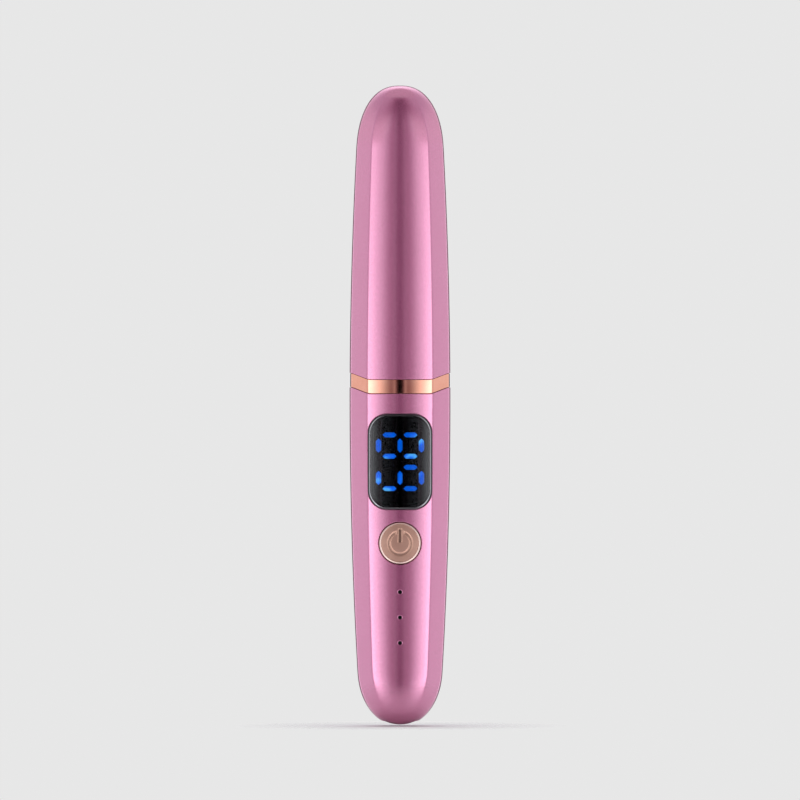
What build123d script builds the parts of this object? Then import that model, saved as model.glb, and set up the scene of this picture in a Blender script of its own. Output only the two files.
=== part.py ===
from build123d import *
import math
import os

# Heated eyelash curler, capped, standing on its round foot end.
# +Z runs along the handle towards the wand, -Y is the front with the display, and the origin is the
# lowest point of the foot on the handle's axis. All lengths are in millimetres.

# ---- Outer form: an eight-panel barrel with a dome at each end ----
LENGTH = 160.0            # foot end to cap end
HALF_WIDTH = 12.6         # along X at the widest place
HALF_DEPTH = 9.2          # along Y at the widest place
WIDEST_Z = 81.5
BARREL_RADIUS = 1180.0    # curve of the long sides
FOOT_DOME = 13.5          # height of the foot's dome
FOOT_POWER = 2.2          # superellipse power of that dome
CROWN_DOME = 16.0
CROWN_POWER = 2.4
DOME_TURNS = (5, 18, 32, 46, 58, 72, 90)   # degrees round a dome, one section each
BARREL_STEPS = 6          # sections between the two domes
FADE = 15.0               # length over which the panels fade into an ellipse at each end

# A panel corner as a share of half width and half depth: where the panels are crisp, and on an ellipse
FRONT_CORNER = (0.655, 0.845)
SIDE_CORNER = (0.975, 0.345)
FRONT_CORNER_SOFT = (0.560, 0.828)
SIDE_CORNER_SOFT = (0.930, 0.367)
FACET_BULGE = 0.010       # how far the four facets crown, as a share of half width

# ---- Shells, ring and parting lines ----
HANDLE_WALL = 1.6
CAP_WALL = 1.55
RING_Z = (83.0, 86.5)     # lower and upper edge of the ring at the front
RING_INSET = 0.15
PARTING_GAP = 0.1
WAVE_RISE = 1.65          # how much higher the parting lines run at the sides
WAVE_FLAT = 8.0           # half width of their level stretch
WAVE_TOP = 12.3           # half width where the rise ends
SEAM_GAP = 0.08           # between front and rear shell
LIP_THICK = 0.8           # lip of the rear shell that reaches inside the front one
LIP_REACH = 1.3
LIP_Z = (16.0, 77.0)

# ---- Neck ----
NECK_INSET = 1.9          # from the outer form to the neck's side
NECK_BOTTOM = 79.0
SKIRT_TOP = 82.95         # wide foot of the neck, inside the handle's mouth
NECK_SHOULDER = 101.7
NECK_TOP = 108.2
NECK_WALL = 1.6
NECK_TOP_HALF = (6.9, 4.9)
NECK_EDGE = 0.9           # rounding of the top rim

# ---- Wand ----
WAND_APEX_Z = 124.0       # where the wand stands furthest back
WAND_APEX_Y = 2.0
WAND_RADIUS = 90.0        # of its bend
WAND_TIP = 149.1
WAND_COLLAR = 111.2       # top of the straight collar
FLARE_END = 124.0
FLARE_POWER = 1.6
STEM_HALF = (3.25, 3.1)
FOOT_HALF = (5.2, 4.2)
TIP_DOME = 3.1
GROOVES = 12
GROOVE_FIRST = 114.1      # middle of the lowest groove
GROOVE_PITCH = 2.76
GROOVE_HEIGHT = 1.35
RIB_TIE = 0.5             # strip that ties the ribs together beside the split
BORE_RADIUS = 2.3
BORE_STEPS = 20           # sections that follow the bend, for the bore and for the rod
ROD_RADIUS = 1.75
WIRE_RADIUS = 0.16
WIRE_GAP = 0.09           # between rod and winding
STUB_HALF = (4.4, 3.4)
FLANGE_HALF = (5.6, 4.04)
FLANGE_Z = (103.3, 104.9)
CLAMP_Z = (99.9, 100.9)   # plate that presses the flange up into the neck
CLAMP_SCREW_X = 6.9
CLAMP_PLATE_HALF = (8.4, 3.0)
CLAMP_COLLAR_RADIUS = 3.6
BOSS_RADIUS = 1.2         # screw bosses under the neck's shoulder
CLAMP_SCREW_RADIUS = 0.4
CLAMP_HEAD = (1.0, 0.7)   # radius and height of the screw's head

# ---- Controls on the front ----
WINDOW_Z = 66.0
WINDOW_SIZE = (15.9, 23.8)
WINDOW_CORNER = 4.8
WINDOW_GAP = 0.1
WINDOW_PROUD = 0.25
WINDOW_BACK = 0.85        # depth of the window's back below the outer form
LEDGE_DEPTH = 1.0
LEDGE_WIDTH = 1.3
BUTTON_Z = 45.7
BUTTON_RADIUS = 5.3
BUTTON_GAP = 0.12
BUTTON_FACE_Y = -9.25
SYMBOL_RADIUS = 2.8
SYMBOL_WIDTH = 0.45
SYMBOL_BAR = (0.65, 3.4)
SYMBOL_DEPTH = 0.2
INDICATOR_Z = (33.5, 27.15, 20.8)
INDICATOR_RADIUS = 0.5

# ---- Inside the handle ----
BOARD_Y = (-2.65, -1.65)  # front and back face
BOARD_HALF_WIDTH = 7.3
BOARD_TOP = 80.0
BOARD_SHOULDER = 14.0
BOARD_FOOT = 6.5
BOARD_TONGUE_HALF = 4.6
MODULE_HALF = (6.35, 10.3)
MODULE_CORNER = 3.6
MODULE_FACE_Y = -7.2
SEGMENT_PITCH = 5.32      # between neighbouring bars of a digit
DIGIT_PITCH = 8.07
SEGMENT_LENGTH = 3.6
SEGMENT_WIDTH = 1.3
SEGMENT_THICK = 0.1
SWITCH_FACE_Y = -4.9
PLUNGER_RADIUS = 1.0
BATTERY_Y = (-1.1, 5.1)
BATTERY_Z = (26.0, 62.0)
BATTERY_HALF_WIDTH = 6.4
PORT_HALF = (4.47, 1.63)
PORT_Z = (1.7, 9.0)
PORT_OPENING_HALF = (4.75, 1.88)
LEAD_RADIUS = 0.45

parts = {}


# ---------------------------------------------------------------- the outer form
def dome_share(height, dome, power):
    """Half width of a superellipse dome, as a share, at a height above its pole."""
    if height >= dome:
        return 1.0
    return (1 - (1 - height / dome) ** power) ** (1 / power)


def swell(z):
    """Half width at z as a share of the widest."""
    barrel = 1 - (z - WIDEST_Z) ** 2 / (2 * BARREL_RADIUS * HALF_WIDTH)
    foot = dome_share(z, FOOT_DOME, FOOT_POWER)
    crown = dome_share(LENGTH - z, CROWN_DOME, CROWN_POWER)
    return barrel * foot * crown


def softness(z):
    """0 where the panels are crisp, 1 where the section is an ellipse."""
    t = max(0.0, 1 - min(z, LENGTH - z) / FADE)
    return t * t * (3 - 2 * t)


def mix(a, b, t):
    return a + (b - a) * t


def form_section(z, half_width, half_depth, soft):
    """Eight-panel outline at height z: crowned front, back and sides, and four facets."""
    fx, fy = (mix(a, b, soft) for a, b in zip(FRONT_CORNER, FRONT_CORNER_SOFT))
    sx, sy = (mix(a, b, soft) for a, b in zip(SIDE_CORNER, SIDE_CORNER_SOFT))
    crown = mix(FACET_BULGE, 1 - math.hypot((fx + sx) / 2, (fy + sy) / 2), soft)
    mx = (fx + sx) / 2 + crown * 0.71
    my = (fy + sy) / 2 + crown * 0.71
    quarter = [(0, 1), (fx, fy), (mx, my), (sx, sy), (1, 0)]
    ring = quarter + [(x, -y) for x, y in quarter[-2::-1]]
    ring += [(-x, y) for x, y in ring[-2:0:-1]]
    points = [Vector(x * half_width, -y * half_depth, z) for x, y in ring]
    count = len(points)
    # corners are the odd points; each panel is an arc from one corner to the next
    arcs = [
        ThreePointArc(points[i], points[(i + 1) % count], points[(i + 2) % count])
        for i in range(1, count, 2)
    ]
    return make_face(arcs)


def form_stations():
    """Heights of the sections that the outer form is drawn through."""
    foot = [FOOT_DOME * (1 - math.cos(math.radians(t)) ** (2 / FOOT_POWER)) for t in DOME_TURNS]
    crown = [CROWN_DOME * (1 - math.cos(math.radians(t)) ** (2 / CROWN_POWER)) for t in DOME_TURNS]
    foot[0] = crown[0] = 0.0
    low, high = foot[-1], LENGTH - crown[-1]
    step = (high - low) / BARREL_STEPS
    barrel = [low + step * i for i in range(1, BARREL_STEPS)]
    return foot + barrel + [LENGTH - h for h in reversed(crown)]


def pole_share(turn, power):
    return math.sin(math.radians(turn)) ** (2 / power)


def form(inset):
    """The closed outer form, shrunk by inset on every side."""
    sections = []
    shrink = (LENGTH - 2 * inset) / LENGTH
    for z in form_stations():
        share = swell(z)
        if z == 0:
            share = pole_share(DOME_TURNS[0], FOOT_POWER) * swell(FOOT_DOME)
        if z == LENGTH:
            share = pole_share(DOME_TURNS[0], CROWN_POWER) * swell(LENGTH - CROWN_DOME)
        sections.append(form_section(inset + z * shrink, (HALF_WIDTH - inset) * share,
                                     (HALF_DEPTH - inset) * share, softness(z)))
    return loft(sections)


def below_wave(front_z):
    """Everything under a parting line that is level in front and rises over the facets."""
    far, floor = HALF_WIDTH + 8, -10
    rim = [(-far, front_z + WAVE_RISE), (-WAVE_TOP, front_z + WAVE_RISE), (-WAVE_FLAT, front_z),
           (WAVE_FLAT, front_z), (WAVE_TOP, front_z + WAVE_RISE), (far, front_z + WAVE_RISE)]
    with BuildSketch(Plane.XZ) as outline:
        with BuildLine():
            Polyline(*rim, (far, floor), (-far, floor), close=True)
        make_face()
        bends = [v for v in outline.vertices() if abs(v.X) < far - 1]
        fillet(bends, 3.0)
    return extrude(outline.sketch, HALF_DEPTH + 4, both=True)


def slab(x_half, y_low, y_high, z_low, z_high):
    """A box that is symmetric about X = 0."""
    box = Box(2 * x_half, y_high - y_low, z_high - z_low)
    return Pos(0, (y_low + y_high) / 2, (z_low + z_high) / 2) * box


def front_prism(profile, y_low, y_high):
    """A profile drawn in X and Z, extended from y_low to y_high."""
    return extrude(Plane.XZ.offset(-y_high) * profile, y_high - y_low)


def rod_y(radius, y_low, y_high, x, z):
    """A round rod along Y."""
    turned = Rot(90, 0, 0) * Cylinder(radius, y_high - y_low)
    return Pos(x, (y_low + y_high) / 2, z) * turned


# ---------------------------------------------------------------- neck
def neck_body(inset):
    """The neck's straight part and its sloping shoulder, shrunk by inset."""
    width, depth = HALF_WIDTH - NECK_INSET - inset, HALF_DEPTH - NECK_INSET - inset
    low = form_section(NECK_BOTTOM, width, depth, 0)
    shoulder = form_section(NECK_SHOULDER, width - 0.1, depth - 0.1, 0)
    top = form_section(NECK_TOP - inset, NECK_TOP_HALF[0] - inset, NECK_TOP_HALF[1] - inset, 0)
    straight = loft([low, shoulder])
    slope = loft([shoulder, top])
    return straight, slope, top


def neck():
    straight, slope, _ = neck_body(0)
    rim = slope.faces().sort_by(Axis.Z)[-1].outer_wire().edges()
    skirt_inset = HANDLE_WALL + 0.06
    skirt = loft([form_section(z, (HALF_WIDTH - skirt_inset) * swell(z),
                               (HALF_DEPTH - skirt_inset) * swell(z), 0) for z in (NECK_BOTTOM, SKIRT_TOP)])
    outer = straight + chamfer(rim, NECK_EDGE * 0.5) + skirt
    hollow_low, hollow_top, _ = neck_body(NECK_WALL)
    hole = Pos(0, 0, NECK_TOP - 2) * extrude(Ellipse(STUB_HALF[0] + 0.1, STUB_HALF[1] + 0.1), 6, both=True)
    shell = outer - (hollow_low + hollow_top) - hole
    spots = (-CLAMP_SCREW_X, CLAMP_SCREW_X)
    low, high = CLAMP_Z[1] + 0.05, FLANGE_Z[1] + 0.6
    bosses = [Pos(x, 0, (low + high) / 2) * Cylinder(BOSS_RADIUS, high - low) & outer for x in spots]
    pilots = [Pos(x, 0, 102.4) * Cylinder(CLAMP_SCREW_RADIUS + 0.02, 4.0) for x in spots]
    return shell + bosses - pilots


def trim_ring():
    lower = below_wave(RING_Z[0] + PARTING_GAP / 2)
    upper = below_wave(RING_Z[1] - PARTING_GAP / 2)
    band = (form(RING_INSET) & upper) - lower
    width, depth = HALF_WIDTH - NECK_INSET + 0.04, HALF_DEPTH - NECK_INSET + 0.04
    bore = loft([form_section(z, width, depth, 0) for z in (NECK_BOTTOM - 2, NECK_SHOULDER)])
    return band - bore


# ---------------------------------------------------------------- cap and handle shells
def cap():
    outer = form(0) - below_wave(RING_Z[1] + PARTING_GAP / 2)
    return outer - form(CAP_WALL)


def window_outline(grow):
    width, height = WINDOW_SIZE
    return RectangleRounded(width + 2 * grow, height + 2 * grow, WINDOW_CORNER + grow)


def handle_shells():
    skin = form(0)
    shell = (skin & below_wave(RING_Z[0] - PARTING_GAP / 2)) - form(HANDLE_WALL)
    front = -HALF_DEPTH - 3
    place = Pos(0, 0, WINDOW_Z)
    recess = place * front_prism(window_outline(WINDOW_GAP), front, -4) - form(LEDGE_DEPTH)
    through = place * front_prism(window_outline(-LEDGE_WIDTH), front, -4)
    button_hole = rod_y(BUTTON_RADIUS + BUTTON_GAP, front, -4, 0, BUTTON_Z)
    dots = [rod_y(INDICATOR_RADIUS, front, -4, 0, z) for z in INDICATOR_Z]
    x_half, y_half = PORT_OPENING_HALF
    port = extrude(RectangleRounded(2 * x_half, 2 * y_half, y_half - 0.05), 8, both=True)
    shell = shell - [recess, through, button_hole, port] - dots
    front_half = slab(30, -30, -SEAM_GAP / 2, -5, 120)
    rear_half = slab(30, SEAM_GAP / 2, 30, -5, 120)
    lip_core = form(HANDLE_WALL + LIP_THICK)
    root = (form(HANDLE_WALL - 0.1) - lip_core) & slab(30, SEAM_GAP / 2, LIP_REACH, *LIP_Z)
    lip = (form(HANDLE_WALL + 0.08) - lip_core) & slab(30, -LIP_REACH, 0.3, *LIP_Z)
    return shell & front_half, (shell & rear_half) + root + lip


# ---------------------------------------------------------------- wand
def wand_centre(z):
    """Y of the wand's middle at height z, on the arc of its bend."""
    return WAND_APEX_Y - (WAND_RADIUS - math.sqrt(WAND_RADIUS ** 2 - (z - WAND_APEX_Z) ** 2))


def flare(z):
    """1 at the collar and 0 along the stem."""
    if z >= FLARE_END:
        return 0.0
    return min(1.0, (FLARE_END - z) / (FLARE_END - WAND_COLLAR)) ** FLARE_POWER


def wand_section(z, share=1.0):
    spread = flare(z)
    centre = wand_centre(z) * (1 - spread)
    half_x = mix(STEM_HALF[0], FOOT_HALF[0], spread) * share
    half_y = mix(STEM_HALF[1], FOOT_HALF[1], spread) * share
    return Pos(0, centre, z) * Ellipse(half_x, half_y)


def wand_body():
    """Collar, flare, curved stem and rounded tip as one solid."""
    collar = extrude(Pos(0, 0, NECK_TOP + 0.05) * Ellipse(*FOOT_HALF), WAND_COLLAR - NECK_TOP - 0.05)
    flare_z = [mix(WAND_COLLAR, FLARE_END, t / 5) for t in range(6)]
    stem_z = [mix(FLARE_END, WAND_TIP - TIP_DOME, t / 5) for t in range(1, 6)]
    tip = [(WAND_TIP - TIP_DOME * (1 - math.sin(math.radians(t))), math.cos(math.radians(t)))
           for t in (25, 45, 62, 76, 86)]
    sections = [wand_section(z) for z in flare_z + stem_z]
    sections += [wand_section(z, share) for z, share in tip]
    return collar + loft(sections)


def wand_split(z_low, z_high, shift):
    """Everything behind the wand's curved middle surface, moved back by shift."""
    path = [(wand_centre(z) * (1 - flare(z)) + shift, z) for z in
            [mix(WAND_COLLAR, z_high, t / 10) for t in range(11)]]
    with BuildSketch(Plane.YZ) as region:
        with BuildLine():
            Polyline((shift, z_low), path[0])
            Spline(*path)
            Polyline(path[-1], (20, z_high), (20, z_low), (shift, z_low))
        make_face()
    return extrude(region.sketch, 12, both=True)


def wand_bore(radius, z_low, z_high):
    """A round bar along the wand's bend, straight below the collar."""
    heights = [mix(z_low, z_high, t / BORE_STEPS) for t in range(BORE_STEPS + 1)]
    sections = [Pos(0, wand_centre(z) * (1 - flare(z)), z) * Circle(radius) for z in heights]
    return loft(sections)


def groove_heights():
    return [GROOVE_FIRST + GROOVE_PITCH * i for i in range(GROOVES)]


def comb_halves():
    stub = extrude(Pos(0, 0, FLANGE_Z[0]) * Ellipse(*STUB_HALF), NECK_TOP + 0.06 - FLANGE_Z[0])
    flange = extrude(Pos(0, 0, FLANGE_Z[0]) * Ellipse(*FLANGE_HALF), FLANGE_Z[1] - FLANGE_Z[0])
    whole = wand_body() + stub + flange - wand_bore(BORE_RADIUS, FLANGE_Z[0] - 1, WAND_TIP - 2.6)
    behind = wand_split(FLANGE_Z[0] - 2, WAND_TIP + 2, 0.02)
    ahead_cut = wand_split(FLANGE_Z[0] - 2, WAND_TIP + 2, -0.02)
    front = whole - ahead_cut
    tie = wand_split(FLANGE_Z[0] - 2, WAND_TIP + 2, -RIB_TIE)
    slots = [slab(9, -12, 12, z - GROOVE_HEIGHT / 2, z + GROOVE_HEIGHT / 2) - tie
             for z in groove_heights()]
    return front - slots, whole & behind


def heater():
    """Ceramic rod, its winding as one ring per groove, and the sensor with its two fine wires."""
    rod = wand_bore(ROD_RADIUS, CLAMP_Z[0] + 0.5, WAND_TIP - 3.0)
    turns = []
    for z in groove_heights():
        wire = Torus(ROD_RADIUS + WIRE_GAP + WIRE_RADIUS, WIRE_RADIUS)
        turns.append(Pos(0, wand_centre(z) * (1 - flare(z)), z) * wire)
    sensor = Pos(0, 0, 99.5) * Sphere(0.7)
    for x in (-0.35, 0.35):
        route = [(x, 0.0, 99.4), (x, 0.0, 93.0), (x, -1.2, 87.0), (x, -1.4, BOARD_TOP + 0.1)]
        sensor += lead(route, 6.0, 0.15)
    return rod, Compound(children=turns), sensor


def wand_clamp():
    """Plate that holds the wand's flange up against the inside of the neck."""
    low, high = CLAMP_Z
    hollow_low, hollow_top, _ = neck_body(NECK_WALL + 0.15)
    x_half, y_half = CLAMP_PLATE_HALF
    plate = slab(x_half, -y_half, y_half, low, high) & (hollow_low + hollow_top)
    top = FLANGE_Z[0] - 0.02
    collar = Pos(0, 0, (low + top) / 2) * Cylinder(CLAMP_COLLAR_RADIUS, top - low)
    spots = (-CLAMP_SCREW_X, CLAMP_SCREW_X)
    clamp = plate + collar - Pos(0, 0, 102) * Cylinder(ROD_RADIUS + 0.25, 10)
    return clamp - [Pos(x, 0, high) * Cylinder(0.55, 4) for x in spots]


def clamp_screws():
    screws = []
    for x in (-CLAMP_SCREW_X, CLAMP_SCREW_X):
        head = Pos(x, 0, CLAMP_Z[0] - 0.36) * Cylinder(*CLAMP_HEAD)
        recess = Pos(x, 0, CLAMP_Z[0] - 0.7) * slab(0.14, -0.6, 0.6, -0.1, 0.25)
        shank = Pos(x, 0, CLAMP_Z[0] + 2.0) * Cylinder(CLAMP_SCREW_RADIUS, 4.1)
        screws.append(head + shank - recess)
    return Compound(children=screws)


# ---------------------------------------------------------------- window, display and button
def window_and_gasket():
    place = Pos(0, 0, WINDOW_Z)
    front = -HALF_DEPTH - 3
    pane = place * front_prism(window_outline(0), front, -4)
    pane = (pane & form(-WINDOW_PROUD)) - form(WINDOW_BACK)
    opening = front_prism(window_outline(-LEDGE_WIDTH), front, -3)
    frame = front_prism(window_outline(-0.1), front, -4) - opening
    gasket = (place * frame & form(WINDOW_BACK + 0.02)) - form(LEDGE_DEPTH - 0.02)
    return pane, gasket


def bar(upright):
    """One bar of a digit: a strip with pointed ends."""
    length, half = SEGMENT_LENGTH / 2, SEGMENT_WIDTH / 2
    shape = [(-length, 0), (half - length, half), (length - half, half),
             (length, 0), (length - half, -half), (half - length, -half)]
    if upright:
        shape = [(z, x) for x, z in shape]
    return make_face(Polyline(*shape, close=True))


def digit_bars():
    """Places of the bars of two digits that lie on their sides, as (x, z, upright, lit)."""
    bars = []
    for row, top in enumerate((WINDOW_Z + DIGIT_PITCH / 2 + SEGMENT_PITCH / 2,
                               WINDOW_Z - DIGIT_PITCH / 2 + SEGMENT_PITCH / 2)):
        for column in (-1, 0, 1):
            bars.append((column * SEGMENT_PITCH, top - SEGMENT_PITCH / 2, True, True))
        for column in (-0.5, 0.5):
            lit = not (row == 1 and column < 0)
            bars.append((column * SEGMENT_PITCH, top, False, lit))
            bars.append((column * SEGMENT_PITCH, top - SEGMENT_PITCH, False, True))
    return bars


def display():
    half_x, half_z = MODULE_HALF
    outline = RectangleRounded(2 * half_x, 2 * half_z, MODULE_CORNER)
    case = Pos(0, 0, WINDOW_Z) * front_prism(outline, MODULE_FACE_Y, BOARD_Y[0])
    lit = []
    for x, z, upright, is_lit in digit_bars():
        if is_lit:
            strip = front_prism(bar(upright), MODULE_FACE_Y - SEGMENT_THICK, MODULE_FACE_Y)
            lit.append(Pos(x, 0, z) * strip)
    return case, Compound(children=lit)


def power_button():
    """Crowned button with a sunk ring and bar, a flange behind the shell and a short stem."""
    body = rod_y(BUTTON_RADIUS, BUTTON_FACE_Y, -6.0, 0, BUTTON_Z)
    crown = Pos(0, BUTTON_FACE_Y + 40, BUTTON_Z) * Sphere(40)
    body = body & crown
    rim = body.edges().sort_by(Axis.Y)[0]
    body = fillet(rim, 0.3)
    flange = rod_y(BUTTON_RADIUS + 0.6, -6.2, -5.5, 0, BUTTON_Z)
    stem = rod_y(1.5, -5.6, -5.25, 0, BUTTON_Z)
    ring = Circle(SYMBOL_RADIUS + SYMBOL_WIDTH / 2) - Circle(SYMBOL_RADIUS - SYMBOL_WIDTH / 2)
    gap = Pos(0, SYMBOL_RADIUS) * Rectangle(2.3, 2.4)
    stroke = Pos(0, 0.2 + SYMBOL_BAR[1] / 2) * Rectangle(*SYMBOL_BAR)
    symbol = Pos(0, 0, BUTTON_Z) * front_prism(ring - gap + stroke, BUTTON_FACE_Y - 1, BUTTON_FACE_Y + 1)
    sunk = Pos(0, BUTTON_FACE_Y + SYMBOL_DEPTH + 40, BUTTON_Z) * Sphere(40)
    return body + flange + stem - (symbol - sunk)


def tact_switch():
    body = Pos(0, 0, BUTTON_Z) * slab(3.0, SWITCH_FACE_Y, BOARD_Y[0], -3.0, 3.0)
    well = rod_y(PLUNGER_RADIUS + 0.06, SWITCH_FACE_Y - 1, -3.9, 0, BUTTON_Z)
    plunger = rod_y(PLUNGER_RADIUS, -5.2, -4.35, 0, BUTTON_Z)
    return body - well, plunger


def indicators():
    pipes, diodes = [], []
    for z in INDICATOR_Z:
        surface = HALF_DEPTH * swell(z)
        pipes.append(rod_y(INDICATOR_RADIUS - 0.04, 0.25 - surface, -3.6, 0, z))
        diodes.append(Pos(0, 0, z) * slab(0.8, -3.45, BOARD_Y[0], -0.4, 0.4))
    return Compound(children=pipes), Compound(children=diodes)


# ---------------------------------------------------------------- board, battery, port
SCREW_SPOTS = ((-5.6, 78.3), (5.6, 78.3), (-5.6, 18.0), (5.6, 18.0))


def main_board():
    board = slab(BOARD_HALF_WIDTH, *BOARD_Y, BOARD_SHOULDER, BOARD_TOP)
    tongue = slab(BOARD_TONGUE_HALF, *BOARD_Y, BOARD_FOOT, BOARD_SHOULDER + 1)
    holes = [rod_y(0.8, -4, 0, x, z) for x, z in SCREW_SPOTS]
    return board + tongue - holes


def board_chips():
    """Controller and charger on the back of the board, resistors and capacitors on the front."""
    back = [Pos(0, 0, 73.6) * slab(2.5, BOARD_Y[1], BOARD_Y[1] + 1.2, -2.5, 2.5),
            Pos(0, 0, 19.0) * slab(2.0, BOARD_Y[1], BOARD_Y[1] + 1.2, -1.5, 1.5)]
    front = []
    for row in range(5):
        for side in (-1, 1):
            spot = Pos(side * 4.6, 0, 21.4 + 3.4 * row)
            front.append(spot * slab(0.5, BOARD_Y[0] - 0.5, BOARD_Y[0], -0.9, 0.9))
    return Compound(children=back + front)


def board_screws():
    """Self-tapping screws through the board into the carrier."""
    screws = []
    for x, z in SCREW_SPOTS:
        head = rod_y(1.2, BOARD_Y[0] - 0.7, BOARD_Y[0], x, z)
        slots = rod_y(0.55, BOARD_Y[0] - 1, BOARD_Y[0] - 0.4, x, z)
        screws.append(head + rod_y(0.58, BOARD_Y[0] - 0.1, 0.9, x, z) - slots)
    return Compound(children=screws)


def carrier():
    """Frame inside the handle that the board is screwed to and the battery lies in."""
    rails = [Pos(x, 0, 0) * slab(0.6, -1.6, 1.6, 16.0, BOARD_TOP) for x in (-7.3, 7.3)]
    bars = [slab(7.3, -1.6, 1.2, z - 1.6, z + 1.6) for z in sorted({z for _, z in SCREW_SPOTS})]
    frame = rails[0] + rails[1] + bars[0] + bars[1]
    pilots = [rod_y(0.6, -2, 1.05, x, z) for x, z in SCREW_SPOTS]
    return frame - pilots - slab(3, -2, -0.3, 15, 22)


def battery():
    pouch = slab(BATTERY_HALF_WIDTH, *BATTERY_Y, *BATTERY_Z)
    pouch = fillet(pouch.edges().filter_by(Axis.Z), 1.2)
    fold = slab(BATTERY_HALF_WIDTH - 0.6, 1.0, 2.2, BATTERY_Z[1], BATTERY_Z[1] + 2.2)
    pad = slab(4.5, BOARD_Y[1] + 0.02, BATTERY_Y[0] - 0.02, 32, 56)
    return pouch + fold, pad


def lead(points, bend, thickness=LEAD_RADIUS):
    """A wire of constant bend radius through a few points."""
    path = FilletPolyline(*points, radius=bend)
    start = Plane(origin=path @ 0, z_dir=path % 0)
    return sweep(start * Circle(thickness), path)


def battery_leads():
    wires = []
    for side in (-1, 1):
        x = side * 1.5
        route = [(x, 1.6, BATTERY_Z[1] + 2.25), (x, 1.6, 66.0), (x, -1.18, 68.4), (x, -1.18, 70.6)]
        wires.append(lead(route, 1.2))
    return Compound(children=wires)


def heater_leads():
    wires = []
    for side in (-1, 1):
        x = side * 1.3
        route = [(x, 0.0, CLAMP_Z[0] + 0.45), (x, 0.0, 93.0), (x, -1.0, 87.0), (x, -1.1, BOARD_TOP + 0.1)]
        wires.append(lead(route, 6.0))
    return Compound(children=wires)


def usb_port():
    x_half, y_half = PORT_HALF
    low, high = PORT_Z
    outer = RectangleRounded(2 * x_half, 2 * y_half, y_half - 0.03)
    inner = RectangleRounded(2 * x_half - 0.6, 2 * y_half - 0.6, y_half - 0.33)
    can = Pos(0, 0, low) * (extrude(outer, high - low) - extrude(inner, high - low - 1.2))
    tongue = slab(3.3, -0.35, 0.35, low + 0.6, high - 1.22)
    return can, tongue


# ---------------------------------------------------------------- make and export
def main():
    parts["cap_shell"] = cap()
    parts["trim_ring"] = trim_ring()
    parts["handle_front_shell"], parts["handle_rear_shell"] = handle_shells()
    parts["neck_shell"] = neck()
    parts["comb_front"], parts["comb_back"] = comb_halves()
    parts["heater_rod"], parts["heater_winding"], parts["heat_sensor"] = heater()
    parts["wand_clamp"], parts["clamp_screws"] = wand_clamp(), clamp_screws()
    parts["heater_leads"] = heater_leads()
    parts["display_window"], parts["window_gasket"] = window_and_gasket()
    parts["display_module"], parts["display_segments"] = display()
    parts["power_button"] = power_button()
    parts["tact_switch"], parts["switch_plunger"] = tact_switch()
    parts["indicator_pipes"], parts["indicator_diodes"] = indicators()
    parts["main_board"] = main_board()
    parts["board_chips"] = board_chips()
    parts["board_screws"] = board_screws()
    parts["carrier_frame"] = carrier()
    parts["battery_cell"], parts["battery_pad"] = battery()
    parts["battery_leads"] = battery_leads()
    parts["usb_shell"], parts["usb_tongue"] = usb_port()
    os.makedirs("parts", exist_ok=True)
    for name, shape in parts.items():
        export_step(shape, f"parts/{name}.step")


main()
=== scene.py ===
import math

import bpy
import numpy as np
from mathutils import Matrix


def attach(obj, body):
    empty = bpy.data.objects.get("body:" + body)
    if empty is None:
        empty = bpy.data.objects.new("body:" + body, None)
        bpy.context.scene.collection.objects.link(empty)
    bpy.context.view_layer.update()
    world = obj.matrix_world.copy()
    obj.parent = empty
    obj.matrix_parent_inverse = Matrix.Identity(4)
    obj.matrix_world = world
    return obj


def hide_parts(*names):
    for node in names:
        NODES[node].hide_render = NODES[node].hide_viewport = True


# Heated eyelash curler with its cap on. Shapes are worked out in millimetres in the row frame (+Z towards
# the cap's crown, -Y out of the display's front) and become metres when a mesh is made.

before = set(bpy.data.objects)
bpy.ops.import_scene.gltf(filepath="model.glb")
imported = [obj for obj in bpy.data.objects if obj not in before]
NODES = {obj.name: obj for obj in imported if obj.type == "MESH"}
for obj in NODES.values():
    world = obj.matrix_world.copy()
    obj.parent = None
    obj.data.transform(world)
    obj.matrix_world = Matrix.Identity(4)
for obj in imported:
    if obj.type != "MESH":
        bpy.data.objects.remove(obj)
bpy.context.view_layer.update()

# ---- Outer form, the same rule as the CAD's ----
LENGTH, HALF_WIDTH, HALF_DEPTH = 160.0, 12.598, 9.2
WIDEST_Z, BARREL_RADIUS = 81.5, 1180.0
FOOT_DOME, FOOT_POWER = 13.5, 2.2
CROWN_DOME, CROWN_POWER = 16.0, 2.4
FADE = 15.0
FRONT_CORNER, SIDE_CORNER = (0.655, 0.845), (0.975, 0.345)
FRONT_CORNER_SOFT, SIDE_CORNER_SOFT = (0.560, 0.828), (0.930, 0.367)
FACET_BULGE = 0.010
EDGE_ROUND = 0.24         # softness of the panel edges
HANDLE_WALL, CAP_WALL = 1.6, 1.55
RING_Z = (83.0, 86.5)
RING_INSET, PARTING_GAP, SEAM_GAP = 0.15, 0.13, 0.08
WAVE_RISE, WAVE_FLAT, WAVE_TOP, WAVE_ROUND = 1.65, 8.0, 12.3, 0.9
NECK_HALF, NECK_TOP_HALF = (10.7, 7.3), (6.9, 4.9)
NECK_BOTTOM, SKIRT_TOP, NECK_SHOULDER, NECK_TOP, NECK_WALL = 79.0, 82.95, 101.7, 108.2, 1.6
STUB_HALF, SKIRT_HALF = (4.4, 3.4), (10.93, 7.53)
WINDOW_Z, WINDOW_HALF, WINDOW_CORNER = 66.0, (7.95, 11.9), 4.8
WINDOW_GAP, LEDGE_DEPTH, LEDGE_WIDTH = 0.1, 1.0, 1.3
PANE_FLAT, PANE_DROP, PANE_POWER, PANE_ROLL = 0.50, 0.75, 2.2, 0.42   # the flat is a share of the half width
BUTTON_Z, BUTTON_RADIUS, BUTTON_GAP, BUTTON_FACE_Y = 45.7, 5.16, 0.22, -9.25
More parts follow.
